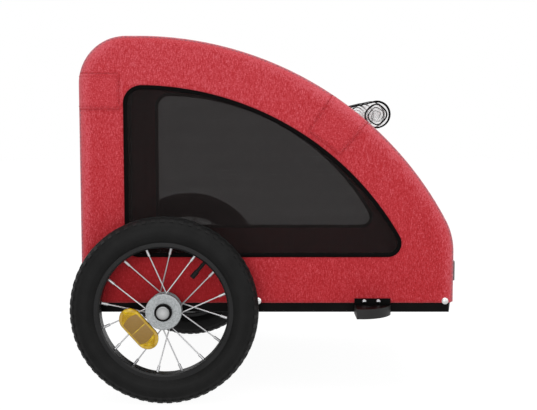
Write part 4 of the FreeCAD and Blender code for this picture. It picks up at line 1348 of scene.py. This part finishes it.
@dataclass
class RainCover:
    """The clear cover rolled on the roof's front edge, its bound edges and straps."""

    shape: CoverShape = field(default_factory=CoverShape)
    radius: float = 0.022
    angle: float = 41.3
    rest: float = 0.00015
    film: float = 0.0012
    tail: float = 0.043
    tail_steps: int = 8
    pitch: float = 0.005
    half_turns: int = 7
    turn_steps: int = 18
    wobble: float = 0.0007
    slip: float = 0.0004
    half_length: float = 0.1725
    edge: float = 0.004
    edge_out: float = 0.0004
    edge_in: float = 0.0006
    edge_lap: float = 0.0005
    pinch: float = 0.4
    pinch_from: int = 60
    pinch_run: int = 36
    edge_growth: float = 0.0005
    strap_at: float = 0.085
    strap_width: float = 0.018
    strap_thickness: float = 0.0015
    strap_gap: float = 0.0003
    strap_turn: float = 205.0

    def __post_init__(self) -> None:
        """Finds the roll's centre and the line of its tail."""
        turn = math.radians(self.angle)
        self.centre = self.above_roof(turn, self.radius)
        self.end = self.above_roof(turn - self.tail / self.shape.arc_radius, self.film)
        run = self.end - self.centre
        open_angle = math.acos(self.radius / run.length)
        way = run.normalized()
        self.leave = Vector((way.x * math.cos(open_angle) + way.z * math.sin(open_angle), 0.0,
                             way.z * math.cos(open_angle) - way.x * math.sin(open_angle)))
        self.across = Vector((self.leave.z, 0.0, -self.leave.x))

    def above_roof(self, turn: float, height: float) -> Vector:
        """Gives the place at a height over the roof's arc, at an angle from straight up."""
        reach = self.shape.arc_radius + height + self.rest
        return Vector((self.shape.arc_x + reach * math.sin(turn), 0.0,
                       self.shape.arc_z + reach * math.cos(turn)))

    def spiral(self, shift: float) -> list[Vector]:
        """Gives the rolled sheet's section, from the tail's end to the middle of the roll.

        Args:
            shift: Distance out from the sheet's outer face.

        Returns:
            Places along the section.
        """
        first, top = self.end + self.leave * shift, self.centre + self.leave * (self.radius + shift)
        made = [first.lerp(top, k / self.tail_steps) for k in range(self.tail_steps)]
        for turn in range(self.half_turns):
            sign = 1 if turn % 2 == 0 else -1
            hub = self.centre if turn % 2 == 0 else self.centre - self.leave * (self.pitch / 2)
            reach = self.radius - turn * self.pitch / 2 + shift
            for k in range(self.turn_steps):
                angle = math.pi * k / self.turn_steps
                wobble = self.wobble * math.sin(4 * angle + 0.4 * turn) if turn > 0 else 0.0
                made.append(hub + self.leave * (sign * (reach + wobble) * math.cos(angle))
                            + self.across * (sign * (reach + wobble) * math.sin(angle)))
        return made

    def build(self) -> None:
        """Makes the film, its bound edges and the straps."""
        self.roll()
        self.bound_edges()
        self.straps()

    def roll(self) -> None:
        """Makes the rolled film."""
        section = self.spiral(-self.film / 2)
        columns = 25
        points = []
        for k in range(columns):
            share = 2 * k / (columns - 1) - 1
            y = share * self.half_length
            for index, p in enumerate(section):
                inside = clamp(index / 40)
                ripple = noise.noise(Vector((p.x * 30, y * 12, p.z * 30)))
                slip = self.slip * ripple * inside * (1 - share**2)
                points.append((p.x + slip, y, p.z + slip))
        faces = grid_faces(columns, len(section))
        made = make_piece("rain_cover_film", points, faces, CLEAR_VINYL, "trailer", sharp=80.0)
        flat = sum((b - a).length for a, b in zip(section, section[1:]))
        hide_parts("rain_cover_roll")

    def bound_edges(self) -> None:
        """Makes the black tape along both rolled edges, full outside and pressed thin in the middle."""
        lift = (self.centre - Vector((self.shape.arc_x, 0.0, self.shape.arc_z))).normalized()
        outside = range(self.tail_steps, self.tail_steps + 2 * self.turn_steps)
        outs, ins = self.spiral(self.edge_out), self.spiral(-self.film - self.edge_in)
        section = []
        for index, (outer, inner) in enumerate(zip(outs, ins)):
            pinch = 2 * self.pinch * clamp((index - self.pinch_from) / self.pinch_run)
            middle = outer.lerp(inner, 0.5)
            full, thin = outer.lerp(middle, pinch), inner.lerp(middle, pinch)
            if index in outside:
                out = (outer - self.centre).normalized()
                full += out * (self.edge_growth * (1 + out.dot(lift)))
            section.append((full, thin))
        points: list[Vector] = []
        faces: Faces = []
        for side in Side:
            faces += tube_faces(len(section), 4, len(points))
            for full, thin in section:
                for p, y in ((full, 0.0), (full, self.edge), (thin, self.edge), (thin, 0.0)):
                    points.append(p + side.out * (self.half_length + y - self.edge_lap))
        made = make_piece("rain_cover_edge_tape", points, faces, BLACK_TAPE, "trailer", sharp=50.0)
        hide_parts("rain_cover_binding")

    def straps(self) -> None:
        """Makes the two webbing straps that hold the roll."""
        near, thick = self.radius + self.strap_gap, self.strap_thickness
        first = math.atan2(self.leave.x, self.leave.z)
        low, top = self.end + self.leave * self.strap_gap, self.centre + self.leave * near
        path = [(low.lerp(top, k / 10), self.leave) for k in range(10)]
        for k in range(37):
            angle = first + math.radians(self.strap_turn * k / 36)
            out = Vector((math.sin(angle), 0.0, math.cos(angle)))
            path.append((self.centre + out * near, out))
        section = ((0.0, -0.5), (thick, -0.48), (thick * 1.1, 0.0), (thick, 0.48), (0.0, 0.5))
        points: list[Vector] = []
        faces: Faces = []
        for side in Side:
            faces += tube_faces(len(path), len(section), len(points))
            for place, out in path:
                for rise, wide in section:
                    y = side.value * self.strap_at + wide * self.strap_width
                    points.append(place + out * rise + Vector((0.0, y, 0.0)))
        made = make_piece("roll_strap_webbing", points, faces, WEBBING, "trailer", sharp=50.0)
        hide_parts("roll_straps")


@dataclass
class Wheel:
    """A spoked wheel: its tyre with tread, reflector and metal parts."""

    side: Side
    axle: Point = (AXLE_X, AXLE_Z)
    plane: float = 0.250
    outer: float = 0.15245
    section: float = 0.0215
    wrap: float = 151.0
    middle: float = 0.1285
    # Beads: depth below the section's middle and half their distance
    bead: Point = (0.0150, 0.0075)
    # Sidewall ribs between these angles from the tread's middle
    ribs: tuple[Point, Point] = ((62.0, 66.0), (104.0, 109.0))
    rib: float = 0.0005
    tread: float = 0.0025
    band: float = 0.0016
    # Angle at which the raised band ends, and over how many degrees it fades
    band_edge: Point = (46.0, 10.0)
    tread_blocks: int = 62
    tread_radius: float = 0.15
    middle_rows: float = 0.008
    edge_share: float = 0.8
    block_root: float = 0.0012
    block_bevel: float = 0.0005
    lens_length: float = 0.078
    lens_width: float = 0.037
    lens_turn: float = 235.0
    lens_heading: float = 138.0
    lens_radius: float = 0.049
    lens_out: float = 0.0074
    lens_field: float = 0.0242
    lens_bow: float = 0.004
    lens_slack: float = 0.0002
    lens_taper: float = 0.1
    field_margin: float = 0.0040
    rib_half: float = 0.0006
    ridges: int = 5
    ridge_from: float = 0.0255
    ridge_pitch: float = 0.0026
    ridge_margin: float = 0.0050
    ridge_shrink: float = 0.0006
    # Radii of a spoke's two ends, and how far out its outer end leans
    spoke_ends: Point = (0.0235, 0.103)
    spoke_out: float = -0.0004

    FINISHES = (("rim", RIM_PAINT), ("spokes", SPOKE_STEEL), ("hub", CAST_ALLOY),
                ("hub_bearings", SPOKE_STEEL), ("quick_release_axle", BLACK_PAINT),
                ("release_button", POLISHED), ("inner_tube", TYRE_RUBBER))
    # Tread blocks: shift in half pitches, place across, width and length
    BLOCKS = ((0, -0.0042, 0.0062, 0.0098), (1, 0.0042, 0.0062, 0.0098),
              (1, -0.0118, 0.0058, 0.0070), (0, 0.0118, 0.0058, 0.0070))
    # Reflector: inset and height of each layer of its body and its fields, and a ridge's section
    LENS_LAYERS = ((0.0, 0.0), (0.0, 0.0042), (0.0008, 0.0056), (0.0024, 0.0066), (0.0045, 0.0068))
    FIELD_LAYERS = ((0.0, 0.0062), (0.0, 0.0069), (0.0003, 0.0070))
    RIDGE = ((-0.0014, 0.0062), (0.0, 0.0077), (0.0014, 0.0062))

    def point(self, radius: float, angle: float, out: float) -> Vector:
        """Gives a place on the wheel by radius, angle from straight up and distance out from its plane."""
        return Vector((self.axle[0] + radius * math.sin(angle), self.side.value * (self.plane + out),
                       self.axle[1] + radius * math.cos(angle)))

    def build(self) -> None:
        """Makes the tyre and reflector and finishes the metal parts."""
        self.tyre()
        self.reflector()
        for node, finish in self.FINISHES:
            dress(f"{self.side.word}_{node}", finish)

    def tyre_section(self) -> list[Point]:
        """Gives the tyre's section, by radius and distance out, with sidewall ribs and a raised band."""
        ring = []
        for k in range(49):
            angle = math.radians(-self.wrap + 2 * self.wrap * k / 48)
            lean = abs(math.degrees(angle))
            reach = self.section
            if any(low < lean < high for low, high in self.ribs):
                reach += self.rib
            reach += self.band * clamp((self.band_edge[0] - lean) / self.band_edge[1])
            ring.append((self.middle + reach * math.cos(angle), reach * math.sin(angle)))
        depth, half = self.bead
        return [*ring, (self.middle - depth, half), (self.middle - depth, -half)]

    def tyre(self) -> None:
        """Makes the tyre: a turned section with rows of tread blocks."""
        turns, ring = 180, self.tyre_section()
        points = [self.point(r, 2 * math.pi * t / turns, out) for t in range(turns) for r, out in ring]
        faces = grid_faces(turns, len(ring), True, looped=True)
        if self.side is Side.RIGHT:
            faces = [face[::-1] for face in faces]
        carcass = len(faces)
        half = math.pi / self.tread_blocks
        for index in range(self.tread_blocks):
            base = 2 * math.pi * index / self.tread_blocks
            for shift, out, wide, run in self.BLOCKS:
                self.block(points, faces, base + shift * half, out, wide, run)
        word = self.side.word
        made = make_piece(f"{word}_tyre_rubber", points, faces, TYRE_RUBBER, f"{word}_wheel", sharp=35.0)
        made.data.materials.append(TREAD_RUBBER.material())
        for face in made.data.polygons[carcass:]:
            face.material_index = 1
        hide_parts(f"{word}_tyre")

    def block(self, points: list[Vector], faces: Faces, angle: float, out: float, wide: float,
              run: float) -> None:
        """Adds one tread block.

        Args:
            points: Points of the tyre, added to.
            faces: Faces of the tyre, added to.
            angle: Place round the tyre in radians.
            out: Place across the tyre.
            wide: Width across the tyre.
            run: Length round the tyre.
        """
        faces += tube_faces(3, 4, len(points))
        lift = self.tread * (1.0 if abs(out) < self.middle_rows else self.edge_share)
        for rise, size in ((-self.block_root, 1.0), (lift - self.block_bevel, 0.94), (lift, 0.8)):
            for du, dv in ((-0.5, -0.5), (0.5, -0.5), (0.5, 0.5), (-0.5, 0.5)):
                slope = math.asin((out + dv * wide * size) / self.section)
                reach = self.section + rise
                radius = min(self.middle + reach * math.cos(slope), self.outer)
                turn = angle + du * run * size / self.tread_radius
                points.append(self.point(radius, turn, reach * math.sin(slope)))

    def lens_mapper(self) -> Mapper:
        """Gives the mapper from along and across the reflector to its place on the spokes."""
        flange, rim = self.spoke_ends
        lean = self.spoke_out / (rim - flange)
        turn, heading = math.radians(self.lens_turn), math.radians(self.lens_heading)
        radial = Vector((math.sin(turn), 0.0, math.cos(turn)))
        normal = (self.side.out + radial * lean).normalized()
        way = Vector((math.sin(heading), 0.0, math.cos(heading)))
        along = (way - normal * way.dot(normal)).normalized()
        across = normal.cross(along)
        out = self.spoke_out - lean * (self.lens_radius - flange) + self.lens_out
        root = self.point(self.lens_radius, turn, out)
        return lambda u, v, rise: root + along * u + across * v + normal * rise

    def reflector(self) -> None:
        """Makes the amber reflector: faceted ends round a flat prism field with a middle rib."""
        put = self.lens_mapper()
        word = self.side.word
        half_u, half_v = self.lens_length / 2, self.lens_width / 2
        points: list[Vector] = []
        for inset, rise in self.LENS_LAYERS:
            loop = rounded_rectangle(inset - half_u, half_u - inset, inset - half_v, half_v - inset,
                                     half_v - inset - self.lens_slack)
            points += [put(u, v * (1 - self.lens_taper * (u / half_u)**2), rise) for u, v in loop]
        faces = tube_faces(len(self.LENS_LAYERS), len(points) // len(self.LENS_LAYERS))
        for end in (-1, 1):
            for step in range(self.ridges):
                half = half_v - self.ridge_margin - step**2 * self.ridge_shrink
                self.facet(points, faces, put, end, self.ridge_from + step * self.ridge_pitch, half)
        made = make_piece(f"{word}_reflector_lens", points, faces, AMBER_CLEAR, f"{word}_wheel", sharp=25.0)
        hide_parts(f"{word}_wheel_reflector")
        points, faces = [], []
        shares = [k / 4 - 1 for k in range(9)]
        for end in (-1, 1):
            faces += tube_faces(len(self.FIELD_LAYERS), len(shares) + 2, len(points))
            for inset, rise in self.FIELD_LAYERS:
                high, near = half_v - self.field_margin - inset, self.rib_half + inset
                reach = self.lens_field - inset
                loop = [(reach - self.lens_bow * share**2, share * high) for share in shares]
                points += [put(end * u, end * v, rise) for u, v in ((near, -high), *loop, (near, high))]
        inner = make_piece(f"{word}_reflector_field", points, faces, AMBER_FIELD, f"{word}_wheel",
                           sharp=30.0)

    def facet(self, points: list[Vector], faces: Faces, put: Mapper, end: int, place: float,
              half: float) -> None:
        """Adds one curved ridge across an end of the reflector.

        Args:
            points: Points of the reflector, added to.
            faces: Faces of the reflector, added to.
            put: The reflector's mapper.
            end: -1 or 1 for the end.
            place: Distance from the reflector's middle.
            half: Half the ridge's length.
        """
        steps = 9
        faces += tube_faces(steps, len(self.RIDGE), len(points))
        for k in range(steps):
            share = 2 * k / (steps - 1) - 1
            bow = -self.lens_bow * share**2
            for du, rise in self.RIDGE:
                points.append(put(end * (place + bow + du), share * half, rise))


def dress(node: str, finish: Finish) -> None:
    """Gives a carried-over solid its finish.

    Args:
        node: Name of the solid.
        finish: Its finish.
    """
    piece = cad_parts[node]
    piece.data.materials.clear()
    piece.data.materials.append(finish.material())
    LOG.info("finished %s as %s", node, finish.name)


class BaseFrame:
    """The rails, hoops, floor, tow bracket and fittings, whose solids stay as they are."""

    FINISHES: dict[Finish, str] = {
        BLACK_PAINT: "right_side_rail left_side_rail front_cross_rail rear_cross_rail axle_cross_tube "
                     "right_hoop left_hoop rear_top_crossbar front_top_crossbar tow_bracket",
        BLACK_PLASTIC: "rail_end_plugs hoop_sockets crossbar_clamps",
        FLOOR_PLASTIC: "floor_board",
        BRIGHT_STEEL: "axle_sleeves frame_screws cover_screws",
        DARK_STEEL: "tow_bracket_bolts",
        WHITE_LENS: "front_reflectors",
        RED_LENS: "rear_reflectors",
        ZIP_ENAMEL: "right_zip_slider left_zip_slider",
    }

    # The tow bracket's tongue lies beyond this Y
    TONGUE_Y = -0.2225

    def build(self) -> None:
        """Finishes every solid of the frame."""
        for finish, nodes in self.FINISHES.items():
            for node in nodes.split():
                dress(node, finish)
        self.tongue()

    def tongue(self) -> None:
        """Gives the upright faces of the tow bracket's tongue a lighter grey grain, painted light that makes
        its sides lighter than its top.
        """
        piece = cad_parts["tow_bracket"]
        piece.data.materials.append(TONGUE_SIDE_LIGHT.material())
        for face in piece.data.polygons:
            if (piece.matrix_world @ face.center).y < self.TONGUE_Y and abs(face.normal.z) < 0.5:
                face.material_index = 1


@dataclass
class Studio:
    """White studio: floor, backdrop light, lamps and the photograph's camera."""

    camera_place: tuple[float, float, float] = (0.006, -1.749, 0.456)
    camera_tilt: float = 84.94
    lens: float = 63.15
    ambient: float = 0.55
    floor_size: float = 9.0
    floor_glow: float = 1.1
    floor_share: float = 0.86

    # Name, place, size and power of each lamp
    LAMPS = (("top_softbox", (0.1, -0.5, 2.6), (2.6, 2.2), 30.0),
             ("front_softbox", (-0.45, -2.8, 0.9), (1.6, 1.4), 25.5),
             ("nose_softbox", (2.4, -1.4, 1.2), (1.4, 1.4), 12.0))
    TARGET = (0.0, 0.0, 0.3)

    def build(self) -> None:
        """Makes the camera, the floor, the world and the lamps."""
        self.camera()
        self.floor()
        self.world()
        for lamp in self.LAMPS:
            self.lamp(*lamp)
        bpy.context.scene.view_settings.view_transform = "Standard"

    def camera(self) -> None:
        """Sets the camera where the photograph was taken from."""
        data = bpy.data.cameras.new("photo_camera")
        data.lens = self.lens
        data.sensor_width = 36.0
        data.sensor_fit = "HORIZONTAL"
        made = bpy.data.objects.new("photo_camera", data)
        made.location = self.camera_place
        made.rotation_euler = (math.radians(self.camera_tilt), 0.0, 0.0)
        bpy.context.scene.collection.objects.link(made)
        bpy.context.scene.camera = made

    @staticmethod
    def seen(tree: bpy.types.NodeTree) -> bpy.types.NodeSocket:
        """Gives 1 for rays that show the background itself and 0 for rays that light the object."""
        path = add_node(tree, "ShaderNodeLightPath", {})
        total = path.outputs["Is Camera Ray"]
        for name in ("Is Glossy Ray", "Is Transmission Ray"):
            most = add_node(tree, "ShaderNodeMath", {0: total, 1: path.outputs[name]})
            most.operation = "MAXIMUM"
            total = most.outputs[0]
        return total

    def floor(self) -> None:
        """Makes a white floor that keeps a soft shadow."""
        mesh = bpy.data.meshes.new("studio_floor")
        size = self.floor_size
        corners = [(-size, -size, 0), (size, -size, 0), (size, size, 0), (-size, size, 0)]
        mesh.from_pydata(corners, [], [(0, 1, 2, 3)])
        material = bpy.data.materials.new("studio_white")
        material.use_nodes = True
        tree = material.node_tree
        tree.nodes.clear()
        paper = add_node(tree, "ShaderNodeBsdfDiffuse", {"Color": (0.9, 0.9, 0.9, 1.0)})
        glow = add_node(tree, "ShaderNodeEmission", {"Strength": self.floor_glow})
        share = add_node(tree, "ShaderNodeMath", {0: self.seen(tree), 1: self.floor_share})
        share.operation = "MULTIPLY"
        shaders = {0: share.outputs[0], 1: paper.outputs[0], 2: glow.outputs[0]}
        mix = add_node(tree, "ShaderNodeMixShader", shaders)
        add_node(tree, "ShaderNodeOutputMaterial", {0: mix.outputs[0]})
        mesh.materials.append(material)
        made = bpy.data.objects.new("studio_floor", mesh)
        bpy.context.scene.collection.objects.link(made)

    def world(self) -> None:
        """Makes the white surroundings."""
        world = bpy.data.worlds.new("studio_world")
        bpy.context.scene.world = world
        world.use_nodes = True
        tree = world.node_tree
        tree.nodes.clear()
        white = (1.0, 1.0, 1.0, 1.0)
        soft, plain = (add_node(tree, "ShaderNodeBackground", {"Color": white, "Strength": power})
                       for power in (self.ambient, 1.0))
        shaders = {0: self.seen(tree), 1: soft.outputs[0], 2: plain.outputs[0]}
        mix = add_node(tree, "ShaderNodeMixShader", shaders)
        add_node(tree, "ShaderNodeOutputWorld", {0: mix.outputs[0]})

    def lamp(self, name: str, place: Sequence[float], size: Point, power: float) -> None:
        """Adds a soft rectangular lamp that faces the target.

        Args:
            name: Name of the lamp.
            place: Where it stands.
            size: Its width and height.
            power: Its power in watts.
        """
        data = bpy.data.lights.new(name, "AREA")
        data.shape = "RECTANGLE"
        data.size, data.size_y = size
        data.energy = power
        made = bpy.data.objects.new(name, data)
        way = Vector(self.TARGET) - Vector(place)
        made.matrix_world = Matrix.Translation(place) @ way.to_track_quat("-Z", "Y").to_matrix().to_4x4()
        bpy.context.scene.collection.objects.link(made)


def main() -> None:
    """Builds the studio and every part of the trailer."""
    logging.basicConfig(level=logging.INFO, format="%(name)s: %(message)s")
    Studio().build()
    shape = CoverShape()
    Cover(shape).build()
    RearWall(shape).build()
    RainCover(shape).build()
    for side in Side:
        Wheel(side).build()
    BaseFrame().build()


if __name__ == "__main__":
    main()
